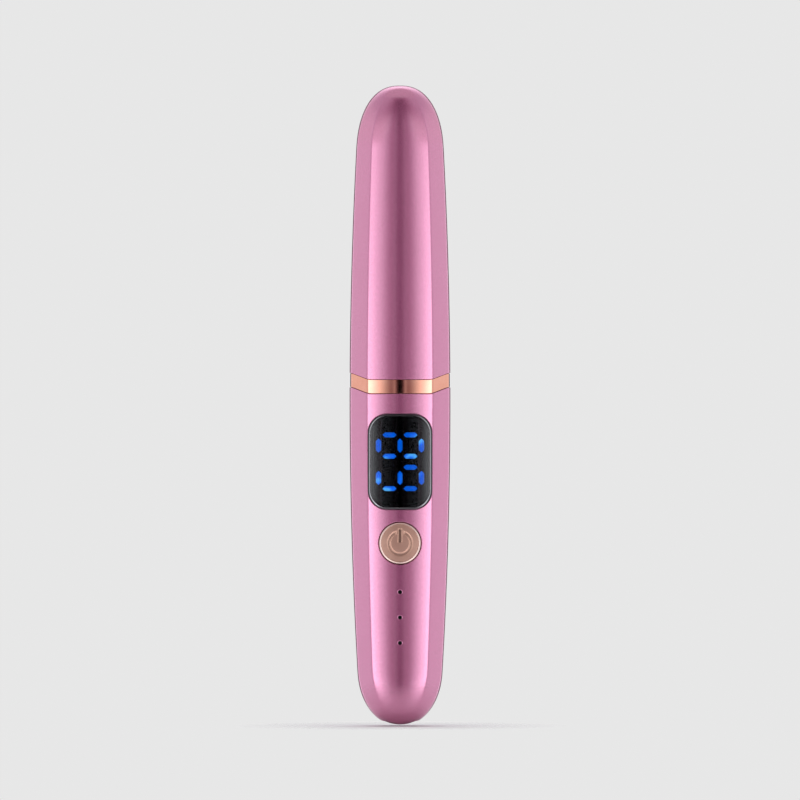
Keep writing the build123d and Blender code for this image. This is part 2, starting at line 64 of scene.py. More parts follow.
SYMBOL_DEPTH, SYMBOL_EDGE = 0.22, 0.40
INDICATOR_Z, INDICATOR_RADIUS = (33.5, 27.15, 20.8), 0.5
PORT_HALF = (4.75, 1.88)
WAND_APEX_Z, WAND_APEX_Y, WAND_RADIUS = 124.0, 2.0, 90.0
WAND_TIP, WAND_COLLAR, FLARE_END, FLARE_POWER = 149.1, 111.2, 124.0, 1.6
STEM_HALF, FOOT_HALF, TIP_DOME = (3.25, 3.1), (5.2, 4.2), 3.1
GROOVES, GROOVE_FIRST, GROOVE_PITCH, GROOVE_HEIGHT = 12, 114.1, 2.76, 1.35
BORE_RADIUS, ROD_RADIUS, RIB_TIE, GROOVE_DEPTH = 2.3, 1.75, 0.5, 0.38
BORE_END, HALF_GAP = WAND_TIP - 2.6, 0.03                # each half of the wand stands off the split plane
CAP_ROUND, RIM_ROUND, RING_ROUND, RIB_ROUND, SPINE_ROUND = 0.09, 0.14, 0.05, 0.30, 0.12
STEP_DEPTH, STEP_SHY = 0.20, 0.03                        # the ring's sunk steps, beside the parting lines
BUTTON_ROWS, WINDOW_ROWS, INDICATOR_REACH = (38.8, 52.6), (52.6, 79.6), 1.3
HANDLE_STRAIGHT, ROW_PITCH = 19.5, 1.8                   # the rear shell's even rows start there
FACE_EDGE, RIM_IN, RIM_OUT, FACE_CROWN = 4.66, 4.72, 4.82, 80.0
FLANGE_RADIUS, STEM_RADIUS, FLANGE_FRONT, FLANGE_BACK, STEM_BACK = 5.9, 1.5, -6.2, -5.5, -5.28
SYMBOL_RADIUS, SYMBOL_HALF, BAR_HALF, BAR_HALF_LENGTH, BAR_MIDDLE, RING_OPENING = 2.8, 0.34, 0.38, 1.65, 1.9, 1.05
SEGMENT_PITCH, DIGIT_PITCH, SEGMENT_LENGTH, SEGMENT_WIDTH = 5.32, 8.07, 3.5, 1.22
MODULE_FACE_Y = -7.2
PANE_EDGE_TURN, PANE_PROUD, PANE_BACK, BORDER_BACK = math.radians(62), 0.24, 0.85, 0.8
SKIN_LIFTS = (0.008, -0.03)                              # front and back of the pane's thin skins
WIRE_RADIUS, CRIMP, CRIMP_REACH = 0.12, 0.16, 0.46
CONTACTS, CONTACT_PITCH, CONTACT_Y, CONTACT_Z = 12, 0.5, (0.36, 0.41), (2.7, 6.2)


# ---------------------------------------------------------------- form
def mix(a, b, t):
    return a + (b - a) * t


def smooth(t):
    t = np.clip(t, 0.0, 1.0)
    return t * t * (3 - 2 * t)


def dome_share(height, dome, power):
    t = np.clip(1 - np.asarray(height, float) / dome, 0.0, 1.0)
    return (1 - t ** power) ** (1 / power)


def dome_height(share, dome, power):
    return dome * (1 - (1 - np.asarray(share, float) ** power) ** (1 / power))


def barrel(z):
    return 1 - (np.asarray(z, float) - WIDEST_Z) ** 2 / (2 * BARREL_RADIUS * HALF_WIDTH)


def swell(z):
    z = np.asarray(z, float)
    return barrel(z) * dome_share(z, FOOT_DOME, FOOT_POWER) * dome_share(LENGTH - z, CROWN_DOME, CROWN_POWER)


def softness(z):
    z = np.asarray(z, float)
    return smooth(1 - np.minimum(z, LENGTH - z) / FADE)


def arc(a, b, c, count):
    """Points from a towards c along the circle through a, b and c, without c."""
    (ax, ay), (bx, by), (cx, cy) = a, b, c
    d = 2 * (ax * (by - cy) + bx * (cy - ay) + cx * (ay - by))
    aa, bb, cc = ax * ax + ay * ay, bx * bx + by * by, cx * cx + cy * cy
    ux = (aa * (by - cy) + bb * (cy - ay) + cc * (ay - by)) / d
    uy = (aa * (cx - bx) + bb * (ax - cx) + cc * (bx - ax)) / d
    start, end = math.atan2(ay - uy, ax - ux), math.atan2(cy - uy, cx - ux)
    turn = (end - start + math.pi) % (2 * math.pi) - math.pi
    angles = start + turn * np.arange(count) / count
    radius = math.hypot(ax - ux, ay - uy)
    return np.stack([ux + radius * np.cos(angles), uy + radius * np.sin(angles)], 1)


PANEL_SAMPLES = 160


def panel_outline(soft):
    """The eight-panel outline, as shares of half width and half depth, with rounded corners. Panel 0 is the
    front, 2 the right side, 4 the back and 6 the left side; odd ones are the facets."""
    fx, fy = (mix(a, b, soft) for a, b in zip(FRONT_CORNER, FRONT_CORNER_SOFT))
    sx, sy = (mix(a, b, soft) for a, b in zip(SIDE_CORNER, SIDE_CORNER_SOFT))
    crown = mix(FACET_BULGE, 1 - math.hypot((fx + sx) / 2, (fy + sy) / 2), soft)
    mx, my = (fx + sx) / 2 + crown * 0.71, (fy + sy) / 2 + crown * 0.71
    stops = [(-fx, -fy), (0, -1), (fx, -fy), (mx, -my), (sx, -sy), (1, 0), (sx, sy), (mx, my), (fx, fy),
             (0, 1), (-fx, fy), (-mx, my), (-sx, sy), (-1, 0), (-sx, -sy), (-mx, -my), (-fx, -fy)]
    stops = [(x * HALF_WIDTH, y * HALF_DEPTH) for x, y in stops]
    p = np.concatenate([arc(*stops[i:i + 3], PANEL_SAMPLES) for i in range(0, 16, 2)])
    closed = np.vstack([p, p[:1]])
    along = np.concatenate([[0], np.cumsum(np.hypot(*np.diff(closed, axis=0).T))])
    even = np.linspace(0, along[-1], 4096, endpoint=False)
    wave = np.fft.rfftfreq(4096, along[-1] / 4096)
    keep = np.exp(-0.5 * (2 * math.pi * wave * EDGE_ROUND) ** 2)
    soft_xy = [np.fft.irfft(np.fft.rfft(np.interp(even, along, closed[:, k])) * keep, 4096) for k in (0, 1)]
    x, y = (np.interp(along, np.append(even, along[-1]), np.append(v, v[0])) for v in soft_xy)
    return np.stack([x / HALF_WIDTH, y / HALF_DEPTH], 1)


SOFT_STEPS = 24
OUTLINES = np.stack([panel_outline(s) for s in np.linspace(0, 1, SOFT_STEPS + 1)])


def outline(u, soft):
    """Point of the outline at panel coordinate u (0 to 8), as shares of half width and half depth."""
    k = (np.asarray(u, float) % 8) * PANEL_SAMPLES
    s = np.clip(np.asarray(soft, float), 0, 1) * SOFT_STEPS
    k, s = np.broadcast_arrays(k, s)
    k0, s0 = np.floor(k).astype(int), np.minimum(np.floor(s).astype(int), SOFT_STEPS - 1)
    k1 = np.minimum(k0 + 1, 8 * PANEL_SAMPLES)
    past_k, past_s = (k - k0)[..., None], (s - s0)[..., None]
    low, high = (OUTLINES[row, k0] * (1 - past_k) + OUTLINES[row, k1] * past_k for row in (s0, s0 + 1))
    return low * (1 - past_s) + high * past_s


def skin(u, z, share=None, inset=0.0):
    """Point of the outer form, shrunk by inset. share is given where z alone is too coarse, in a dome."""
    z = np.asarray(z, float)
    share = swell(z) if share is None else share
    xy = outline(u, softness(z))
    x = xy[..., 0] * (HALF_WIDTH - inset) * share
    y = xy[..., 1] * (HALF_DEPTH - inset) * share
    return np.stack(np.broadcast_arrays(x, y, z), -1)


FRONT_U = np.linspace(-0.9, 1.9, 900)
FRONT_XY = outline(FRONT_U, 0.0)


def front_y(x, z, inset=0.0):
    """Y of the form's front at x and z, where the panels are crisp."""
    share = swell(z)
    across = x / ((HALF_WIDTH - inset) * share)
    return (HALF_DEPTH - inset) * share * np.interp(across, FRONT_XY[:, 0], FRONT_XY[:, 1])


def front_normal(x, z, step=0.06):
    slope_x = (front_y(x + step, z) - front_y(x - step, z)) / (2 * step)
    slope_z = (front_y(x, z + step) - front_y(x, z - step)) / (2 * step)
    n = np.stack([slope_x, -np.ones_like(slope_x), slope_z], -1)
    return n / np.linalg.norm(n, axis=-1, keepdims=True)


def stand(xz, y, z):
    """Points over an outline of (x, height) whose middle is at height z."""
    return np.stack(np.broadcast_arrays(xz[..., 0], y, xz[..., 1] + z), -1)


def on_front(xz, z, inset=0.0, back=0.0):
    """The same, lying on the form's front."""
    return stand(xz, front_y(xz[..., 0], xz[..., 1] + z, inset) + back, z)


def wave(x):
    """Height of a parting line above its level stretch."""
    x = np.abs(x)
    slope, t = WAVE_RISE / (WAVE_TOP - WAVE_FLAT), WAVE_ROUND
    rise = slope * (x - WAVE_FLAT)
    rise = np.where(np.abs(x - WAVE_FLAT) < t, slope * (x - WAVE_FLAT + t) ** 2 / (4 * t), rise)
    rise = np.where(x <= WAVE_FLAT - t, 0.0, rise)
    rise = np.where(np.abs(x - WAVE_TOP) < t, WAVE_RISE - slope * (t - x + WAVE_TOP) ** 2 / (4 * t), rise)
    return np.where(x >= WAVE_TOP + t, WAVE_RISE, rise)


def parting(u, level):
    """Height at which column u of the form meets a parting line."""
    z = np.full(np.shape(u), level, float)
    for _ in range(4):
        z = level + wave(skin(u, z)[..., 0])
    return z


# ---------------------------------------------------------------- mesh building
def grid_normals(p, closed_cols=False):
    """Smooth normals of a grid of points, from the differences along its rows and columns."""
    def along(axis, closed):
        if closed:
            return np.roll(p, -1, axis) - np.roll(p, 1, axis)
        ahead = np.concatenate([np.take(p, range(1, p.shape[axis]), axis), np.take(p, [-1], axis)], axis)
        behind = np.concatenate([np.take(p, [0], axis), np.take(p, range(p.shape[axis] - 1), axis)], axis)
        return ahead - behind
    n = np.cross(along(0, False), along(1, closed_cols))
    size = np.linalg.norm(n, axis=-1, keepdims=True)
    n = n / np.maximum(size, 1e-12)
    bad = size[..., 0] < 1e-10
    if bad.any():
        row_mean = n.sum(1, keepdims=True)
        row_mean = row_mean / np.maximum(np.linalg.norm(row_mean, axis=-1, keepdims=True), 1e-12)
        n = np.where(bad[..., None], np.broadcast_to(row_mean, n.shape), n)
    return n


class Solid:
    """Grids of points that share vertices, each with its own corner normals, made into one mesh."""

    def __init__(self):
        self.points, self.quads, self.corners, self.count = [], [], [], 0

    def put(self, points):
        points = np.asarray(points, float)
        index = np.arange(points[..., 0].size).reshape(points.shape[:-1]) + self.count
        self.points.append(points.reshape(-1, 3))
        self.count += index.size
        return index

    def at(self, index):
        return np.concatenate(self.points)[index]

    def sheet(self, index, facing, normals=None, closed_cols=False, skip=None):
        """Faces over a grid of vertex numbers. facing is a rough outward direction, per vertex or for all;
        skip marks the cells that stay open."""
        p = self.at(index)
        n = grid_normals(p, closed_cols) if normals is None else normals
        facing = np.broadcast_to(np.asarray(facing, float), p.shape)
        if normals is None and (n * facing).sum() < 0:
            n = -n
        rows, cols = index.shape
        r, c = np.meshgrid(np.arange(rows - 1), np.arange(cols if closed_cols else cols - 1), indexing="ij")
        if skip is not None:
            keep = ~skip[r, c]
            r, c = r[keep], c[keep]
        r, c = r.ravel(), c.ravel()
        right = (c + 1) % cols
        around = ((r, c), (r, right), (r + 1, right), (r + 1, c))
        quad, corner, pts = (np.stack([grid[cell] for cell in around], 1) for grid in (index, n, p))
        face_n = np.cross(pts[:, 2] - pts[:, 0], pts[:, 3] - pts[:, 1])
        turned = (face_n * corner.sum(1)).sum(1) < 0
        quad[turned], corner[turned] = quad[turned][:, ::-1], corner[turned][:, ::-1]
        self.quads.append(quad)
        self.corners.append(corner)

    def band(self, index, facing, normals=None):
        """A sheet whose last column meets its first."""
        self.sheet(index, facing, normals, closed_cols=True)

    def make(self, name, material, slot, *nodes, body="handle"):
        """A mesh object that rides on a body and stands for the CAD nodes named."""
        points = np.concatenate(self.points) / 1000
        quads, corners = np.concatenate(self.quads), np.concatenate(self.corners)
        # vertices in one place become one, so that grids that meet share their edge
        key = np.round(points * 1e7).astype(np.int64)
        _, first, back = np.unique(key, axis=0, return_index=True, return_inverse=True)
        back = back.ravel()
        points, quads = points[first], back[quads]
        faces, normals = [], []
        for quad, corner in zip(quads.tolist(), corners):
            kept = [i for i in range(4) if quad[i] != quad[i - 1]]
            if len(kept) >= 3 and len({quad[i] for i in kept}) == len(kept):
                faces.append([quad[i] for i in kept])
                normals.extend(corner[i] for i in kept)
        mesh = bpy.data.meshes.new(name)
        mesh.from_pydata(points.tolist(), [], faces)
        mesh.update()
        mesh.polygons.foreach_set("use_smooth", [True] * len(mesh.polygons))
        mesh.normals_split_custom_set(np.asarray(normals, float).tolist())
        mesh.materials.append(material)
        piece = placed(name, mesh)
        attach(piece, body)
        if nodes:
            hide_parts(*nodes)
        return piece


def placed(name, data):
    """A new object in the scene that holds data."""
    obj = bpy.data.objects.new(name, data)
    bpy.context.scene.collection.objects.link(obj)
    return obj


def turns(count):
    """Angles through a quarter turn, for rounding an edge."""
    return np.linspace(0, math.pi / 2, count)


# columns of the form: finer beside the panel corners
CORNER_FINE = {0: (0.006, 0.013, 0.022, 0.034), 1: (0.018, 0.038, 0.062, 0.09), 2: (0.016, 0.034, 0.056, 0.082)}
PANEL_KIND = (0, 1, 2, 1, 0, 1, 2, 1)
PANEL_STEPS = {0: 26, 1: 8, 2: 10}
CLOSEST_COLUMNS = 0.0045


def columns(low, high, extra=()):
    """Panel coordinates from low to high, with the extra ones among them."""
    pinned = {round(float(v), 6) for v in (low, high, *extra)}
    found = set(pinned)
    for panel in range(math.floor(low), math.ceil(high)):
        kind = PANEL_KIND[panel % 8]
        inner = [*np.linspace(0, 1, PANEL_STEPS[kind] + 1)]
        inner += [*CORNER_FINE[kind], *(1 - f for f in CORNER_FINE[kind])]
        found |= {round(panel + float(t), 6) for t in inner}
    found = sorted(v for v in found if low <= v <= high)
    kept = [found[0]]
    for v in found[1:]:
        if v - kept[-1] > CLOSEST_COLUMNS:
            kept.append(v)
        elif v in pinned and kept[-1] not in pinned:
            kept[-1] = v
    return np.array(kept)


# ---------------------------------------------------------------- materials
class Nodes:
    """Helpers that add nodes to a tree. An input takes a value or another node's output."""

    def __init__(self, tree):
        self.tree = tree

    def feed(self, socket, value):
        if isinstance(value, bpy.types.NodeSocket):
            self.tree.links.new(value, socket)
        else:
            socket.default_value = value

    def add(self, kind, inputs=(), **settings):
        node = self.tree.nodes.new("ShaderNode" + kind)
        for key, value in settings.items():
            setattr(node, key, value)
        for key, value in dict(inputs).items():
            self.feed(node.inputs[key], value)
        return node

    def math(self, operation, a, b=0.5):
        return self.add("Math", {0: a, 1: b}, operation=operation).outputs[0]

    def remap(self, value, low, high, to_low, to_high, **settings):
        inputs = {"Value": value, "From Min": low, "From Max": high, "To Min": to_low, "To Max": to_high}
        return self.add("MapRange", inputs, **settings).outputs["Result"]

    def ramp(self, value, *stops):
        node = self.add("ValToRGB", {"Fac": value})
        marks = node.color_ramp.elements
        while len(marks) < len(stops):
            marks.new(0.5)
        for mark, (position, colour) in zip(marks, stops):
            mark.position, mark.color = position, (*colour, 1.0)
        return node.outputs["Color"]

    def blend(self, factor, a, b, kind="MIX"):
        node = self.add("Mix", {"Factor": factor}, data_type="RGBA", blend_type=kind)
        for socket, value in zip([i for i in node.inputs if i.type == "RGBA"], (a, b)):
            self.feed(socket, value)
        return next(o for o in node.outputs if o.type == "RGBA")


class Look(Nodes):
    """A Principled material. Textures lie in the object's own space, with sizes in millimetres."""

    def __init__(self, name, **sockets):
        self.material = bpy.data.materials.new(name)
        self.material.use_nodes = True
        super().__init__(self.material.node_tree)
        self.shader = next(n for n in self.tree.nodes if n.type == "BSDF_PRINCIPLED")
        self.place = self.tree.nodes.new("ShaderNodeTexCoord").outputs["Object"]
        for key, value in sockets.items():
            self.set(key.replace("_", " "), value)

    def set(self, socket, value):
        self.feed(self.shader.inputs[socket], value)

    def stretched(self, x, y, z):
        return self.add("Mapping", {"Vector": self.place, "Scale": (x, y, z)}).outputs["Vector"]

    def noise(self, size_mm, detail=3.0, roughness=0.55, vector=None):
        inputs = {"Scale": 1000 / size_mm, "Detail": detail, "Roughness": roughness}
        return self.add("TexNoise", {"Vector": vector or self.place, **inputs}).outputs["Fac"]

    def cells(self, size_mm):
        """One random colour per cell."""
        return self.add("TexVoronoi", {"Vector": self.place, "Scale": 1000 / size_mm}).outputs["Color"]

    def shade(self, colour, value):
        return self.add("HueSaturation", {"Color": colour, "Value": value}).outputs["Color"]

    def bump(self, height, distance_mm, strength=1.0, normal=None):
        inputs = {"Height": height, "Distance": distance_mm / 1000, "Strength": strength}
        if normal is not None:
            inputs["Normal"] = normal
        return self.add("Bump", inputs).outputs["Normal"]

    def surface(self, colour, cloud_mm, cloud_detail, stops, tones, grain, gloss, height_mm, strength):
        """Colour that wanders between two tones with a cloud; gloss and relief that follow a finer grain."""
        darker, lighter = (tuple(min(1.0, c * k) for c in colour) for k in tones)
        cloud = self.noise(cloud_mm, cloud_detail)
        self.set("Base Color", self.ramp(cloud, (stops[0], darker), (stops[1], lighter)))
        self.set("Roughness", self.remap(grain, 0.3, 0.7, *gloss))
        self.set("Normal", self.bump(grain, height_mm, strength))
        return self.material


def pink_lacquer():
    """Rose-pink metallic lacquer: fine flake under a clear satin coat."""
    look = Look("rose_pink_lacquer", Metallic=0.70, IOR=1.5, Coat_Weight=0.9, Coat_Roughness=0.15, Coat_IOR=2.3)
    pick = look.add("SeparateColor", {"Color": look.cells(0.13)}).outputs[0]
    cloud, grain = look.noise(9.0, 2.0), look.noise(0.40, 3.0, 0.7)
    tone = look.math("ADD", look.math("MULTIPLY", pick, 0.35), look.math("MULTIPLY", grain, 0.55))
    tone = look.math("ADD", tone, look.math("MULTIPLY", cloud, 0.10))
    look.set("Base Color", look.ramp(tone, (0.22, (0.58, 0.138, 0.295)), (0.50, (0.66, 0.170, 0.352)),
                                     (0.78, (0.745, 0.212, 0.420))))
    look.set("Roughness", look.remap(grain, 0.25, 0.75, 0.20, 0.26))
    ripple = look.bump(look.noise(2.2, 1.0), 0.003, 0.4)
    look.set("Normal", look.bump(look.math("ADD", pick, grain), 0.002, 0.5, ripple))
    return look.material


def rose_gold(name, darker, lighter, roughness, brushed=False):
    """Plated rose gold with slight wear. The brushed kind is satin with a polished turned rim, whose lighter
    colour is a painted highlight. Where the sunk attribute is set, the colour is darkened as painted shade.
    """
    look = Look(name, Metallic=1.0)
    scratch = look.noise(0.35, 4.0, 0.7, look.stretched(1.0, 1.0, 0.15))
    colour = look.ramp(look.noise(3.5, 3.0), (0.3, darker), (0.7, lighter))
    gloss = look.remap(scratch, 0.3, 0.75, roughness, roughness + 0.05)
    if brushed:
        x, _, z = look.add("SeparateXYZ", {"Vector": look.place}).outputs
        z = look.math("SUBTRACT", z, BUTTON_Z / 1000)
        radius = look.math("SQRT", look.math("ADD", look.math("MULTIPLY", x, x), look.math("MULTIPLY", z, z)))
        # painted highlight: the turned rim is glossier and also lighter in colour
        rim = look.remap(radius, 4.70e-3, 4.76e-3, 0.0, 1.0)
        gloss = look.math("MULTIPLY", gloss, look.math("SUBTRACT", 1.0, look.math("MULTIPLY", rim, 0.6)))
        colour = look.blend(rim, colour, (1.0, 0.76, 0.66, 1.0))
    # painted shade: where the sunk attribute is set, the colour is darkened by this factor
    painted_shade_factor, grain_mm, height_mm = (0.35, 0.22, 0.0012) if brushed else (0.08, 0.6, 0.0015)
    sunk = look.add("Attribute", attribute_name="sunk").outputs["Fac"]
    look.set("Base Color", look.blend(sunk, colour, look.shade(colour, painted_shade_factor)))
    look.set("Roughness", gloss)
    look.set("Normal", look.bump(look.noise(grain_mm, 3.0), height_mm, 0.5))
    return look.material


def black_nylon(name, tint=(0.012, 0.012, 0.015), roughness=0.38, **sockets):
    look = Look(name, IOR=1.5, **sockets)
    gloss = (roughness - 0.08, roughness + 0.12)
    return look.surface(tint, 5.0, 2.0, (0.3, 0.7), (0.7, 1.7), look.noise(0.30, 4.0, 0.7), gloss, 0.012, 0.5)


def plastic(name, colour, roughness=0.45, grain_mm=0.3, height_mm=0.008, spread=0.18, **sockets):
    """Moulded or coated surface: a little mottling, grain and uneven gloss."""
    look = Look(name, **sockets)
    gloss = (roughness * 0.85, min(1.0, roughness * 1.2))
    return look.surface(colour, 6.0, 2.0, (0.32, 0.68), (1 - spread, 1 + spread),
                        look.noise(grain_mm, 3.0, 0.65), gloss, height_mm, 0.6)


def metal(name, colour, roughness=0.3, lines=(1.0, 1.0, 0.08)):
    """Bare or plated metal with fine drawn lines."""
    look = Look(name, Metallic=1.0)
    drawn = look.noise(0.12, 4.0, 0.7, look.stretched(*lines))
    gloss = (roughness * 0.75, roughness * 1.3)
    return look.surface(colour, 2.5, 3.0, (0.3, 0.7), (0.85, 1.1), drawn, gloss, 0.004, 0.6)


def smoked_pane():
    """Polished smoke-black pane: the lit bars behind it show through."""
    look = Look("smoke_black_pane", Transmission_Weight=1.0, IOR=1.52)
    smear = look.noise(4.0, 3.0)
    look.set("Base Color", look.ramp(smear, (0.3, (0.155, 0.160, 0.170)), (0.7, (0.175, 0.180, 0.190))))
    look.set("Roughness", look.remap(smear, 0.35, 0.8, 0.015, 0.05))
    look.set("Normal", look.bump(look.noise(0.8, 2.0), 0.0008, 0.4))
    return look.material


def lit_bar():
    """Blue diffuser with its light: brighter towards cyan where a diode sits behind."""
    look = Look("lit_blue_bar", Roughness=0.6, Specular_IOR_Level=0.0, Emission_Strength=5.6)
    hot = look.noise(3.1, 1.0, 0.4)
    colour = look.ramp(hot, (0.44, (0.0, 0.100, 0.60)), (0.56, (0.008, 0.150, 0.74)), (0.68, (0.08, 0.42, 0.88)))
    look.set("Base Color", colour)
    look.set("Emission Color", colour)
    return look.material


PINK = pink_lacquer()
RING_GOLD = rose_gold("rose_gold_polished", (0.88, 0.40, 0.28), (0.93, 0.455, 0.33), 0.07)
BUTTON_GOLD = rose_gold("rose_gold_satin", (0.77, 0.46, 0.345), (0.82, 0.51, 0.39), 0.34, brushed=True)
COMB = black_nylon("black_comb_nylon", (0.006, 0.006, 0.008), 0.34, Specular_IOR_Level=0.34)
NAVY = black_nylon("navy_groove_floor", (0.004, 0.006, 0.026), 0.42, Specular_IOR_Level=0.30)
NYLON = black_nylon("black_nylon_inner", roughness=0.5)
PANE = smoked_pane()
LIT = lit_bar()
CERAMIC = plastic("glazed_heater_ceramic", (0.05, 0.07, 0.16), 0.22, 0.5, 0.006, Coat_Weight=0.5)
WIRE = metal("heating_wire", (0.34, 0.37, 0.50), 0.34)
STEEL = metal("drawn_steel", (0.60, 0.60, 0.62), 0.28)
PANE_BORDER = plastic("black_pane_border", (0.004, 0.004, 0.005), 0.30)
PANE_BEVEL = metal("polished_bevel", (0.32, 0.32, 0.33), 0.14)


# ---------------------------------------------------------------- cap
def crown(u, count, inset=0.0):
    """Rows of the crown from its full section to the pole, evenly round the dome."""
    rows = []
    for share in np.sin(np.linspace(math.pi / 2, 0, count))[1:] ** (2 / CROWN_POWER):
        z = LENGTH - inset - float(dome_height(share, CROWN_DOME, CROWN_POWER))
        rows.append(skin(u, z, share * float(barrel(z)), inset))
    return rows


def make_cap():
    solid = Solid()
    u = columns(0, 8)[:-1]
    edge = parting(u, RING_Z[1] + PARTING_GAP / 2)
    rows = [skin(u, edge + CAP_ROUND * (1 - math.sin(t)), inset=CAP_ROUND * (1 - math.cos(t)))
            for t in turns(6)[::-1]]
    rows += [skin(u, edge + z * (1 - z / 40)) for z in np.linspace(0.12, 1, 5)[:-1] * 4.0 + 0.3]
    rows += [skin(u, z) for z in np.linspace(93.5, LENGTH - CROWN_DOME, 30)]
    outer = np.stack(rows + crown(u, 40))
    rows = [skin(u, edge, inset=CAP_WALL)] + [skin(u, z, inset=CAP_WALL) for z in np.linspace(92, 142, 14)]
    inner = np.stack(rows + crown(u, 14, CAP_WALL))
    out, inn = solid.put(outer), solid.put(inner)
    middle = np.array([0, 0, 120.0])
    solid.band(out, outer - middle)
    solid.band(inn, middle - inner)
    solid.band(np.stack([out[0], inn[0]]), (0, 0, -1))
    solid.make("cap", PINK, "pink_shell", "cap_shell", body="cap")


# ---------------------------------------------------------------- handle shells
def rounded_box(half_x, half_z, corner):
    """Outline of a rounded rectangle: its point in the direction of each angle, grown by grow."""
    def at(angle, grow=0.0):
        hx, hz, r = half_x + grow, half_z + grow, corner + grow
        c, s = np.abs(np.cos(angle)), np.abs(np.sin(angle))
        with np.errstate(divide="ignore"):
            reach = np.minimum(hx / np.maximum(c, 1e-9), hz / np.maximum(s, 1e-9))
        cx, cz = hx - r, hz - r
        b = c * cx + s * cz
        bend = b + np.sqrt(np.maximum(b * b - (cx * cx + cz * cz - r * r), 0))
        on_corner = (reach * c > cx) & (reach * s > cz)
        reach = np.where(on_corner, bend, reach)
        return np.stack([reach * np.cos(angle), reach * np.sin(angle)], -1)
    return at


def round_hole(radius):
    def at(angle, grow=0.0):
        return np.stack([(radius + grow) * np.cos(angle), (radius + grow) * np.sin(angle)], -1)
    return at


def indicator_hole(z):
    return {"z": z, "outline": round_hole(INDICATOR_RADIUS), "u": (0.42, 0.58), "ledge": False, "round": 0.16,
            "rows": (z - INDICATOR_REACH, z + INDICATOR_REACH), "rings": 5}


WINDOW_HOLE = rounded_box(*(v + WINDOW_GAP for v in (*WINDOW_HALF, WINDOW_CORNER)))
HOLES = (
    {"z": WINDOW_Z, "outline": WINDOW_HOLE, "u": (-0.12, 1.12), "ledge": True, "round": 0.12,
     "rows": WINDOW_ROWS, "rings": 9},
    {"z": BUTTON_Z, "outline": round_hole(BUTTON_RADIUS + BUTTON_GAP), "u": (0.06, 0.94), "ledge": False,
     "round": 0.15, "rows": BUTTON_ROWS, "rings": 8},
    *(indicator_hole(z) for z in INDICATOR_Z),
)


def handle_heights(with_holes):
    """Heights of the handle's rows: even beside the holes, and nowhere more than ROW_PITCH apart."""
    marks = [FOOT_DOME, HANDLE_STRAIGHT]
    if with_holes:
        for z in INDICATOR_Z:
            marks += [*np.linspace(z - INDICATOR_REACH, z + INDICATOR_REACH, 9)]
        marks += [*np.linspace(*BUTTON_ROWS, 15), *np.linspace(*WINDOW_ROWS, 22)]
    else:
        marks += [*np.linspace(HANDLE_STRAIGHT, WINDOW_ROWS[1], 34)]
    marks = np.unique(np.round(marks, 6))
    filled = [marks[0]]
    for z in marks[1:]:
        start, count = filled[-1], math.ceil((z - filled[-1]) / ROW_PITCH)
        filled += [start + (z - start) * k / count for k in range(1, count)] + [z]
    return np.unique(np.round(filled, 6))


def port_share(u):
    """Share of the foot's section at which column u meets the port opening."""
    xy = outline(u, 1.0) * [HALF_WIDTH, HALF_DEPTH]
    angle = np.arctan2(xy[..., 1], xy[..., 0])
    rim = rounded_box(*PORT_HALF, PORT_HALF[1] - 0.05)(angle)
    return np.hypot(*np.moveaxis(rim, -1, 0)) / np.hypot(xy[..., 0], xy[..., 1]) / float(barrel(0.3))


def handle_grid(u, heights, foot, top, inset, fillet):
    """Rows of one half of the handle, from the port opening (foot) up to the parting line (top). fillet is 1
    where the top edge is rounded and 0 where it is plain."""
    rows, shares, depths = [], [], []

    def add(z, share=None, depth=0.0):
        rows.append(z)
        shares.append(swell(z) if share is None else share)
        depths.append(depth)
    start = np.arcsin(np.clip(foot, 0, 1) ** (FOOT_POWER / 2))
    for w in np.linspace(0, 1, 26)[:-1] ** 1.2:
        share = np.sin(mix(start, math.pi / 2, w)) ** (2 / FOOT_POWER)
        z = dome_height(share, FOOT_DOME, FOOT_POWER)
        add(z, share * barrel(z))
    for z in heights:
        add(np.full(u.shape, z))
    for w in (0.25, 0.5, 0.75, 0.93):
        add(mix(heights[-1], top - RIM_ROUND, w))
    for t in turns(5):
        add(top - RIM_ROUND * (1 - math.sin(t)) * fillet, depth=RIM_ROUND * (1 - math.cos(t)) * fillet)
    z = np.stack(rows)
    p = skin(u[None, :], z, np.stack(shares), inset)
    if inset:
        # the inner face rises off the foot by the wall's thickness
        lift = inset * (1 - z[:-5] / WIDEST_Z)
        p[:-5, :, 2] = np.where(z[:-5] < WIDEST_Z, z[:-5] + np.clip(lift, 0, None), z[:-5])
    p[..., :2] *= (1 - np.array(depths)[:, None] / np.hypot(p[..., 0], p[..., 1]))[..., None]
    return p, z


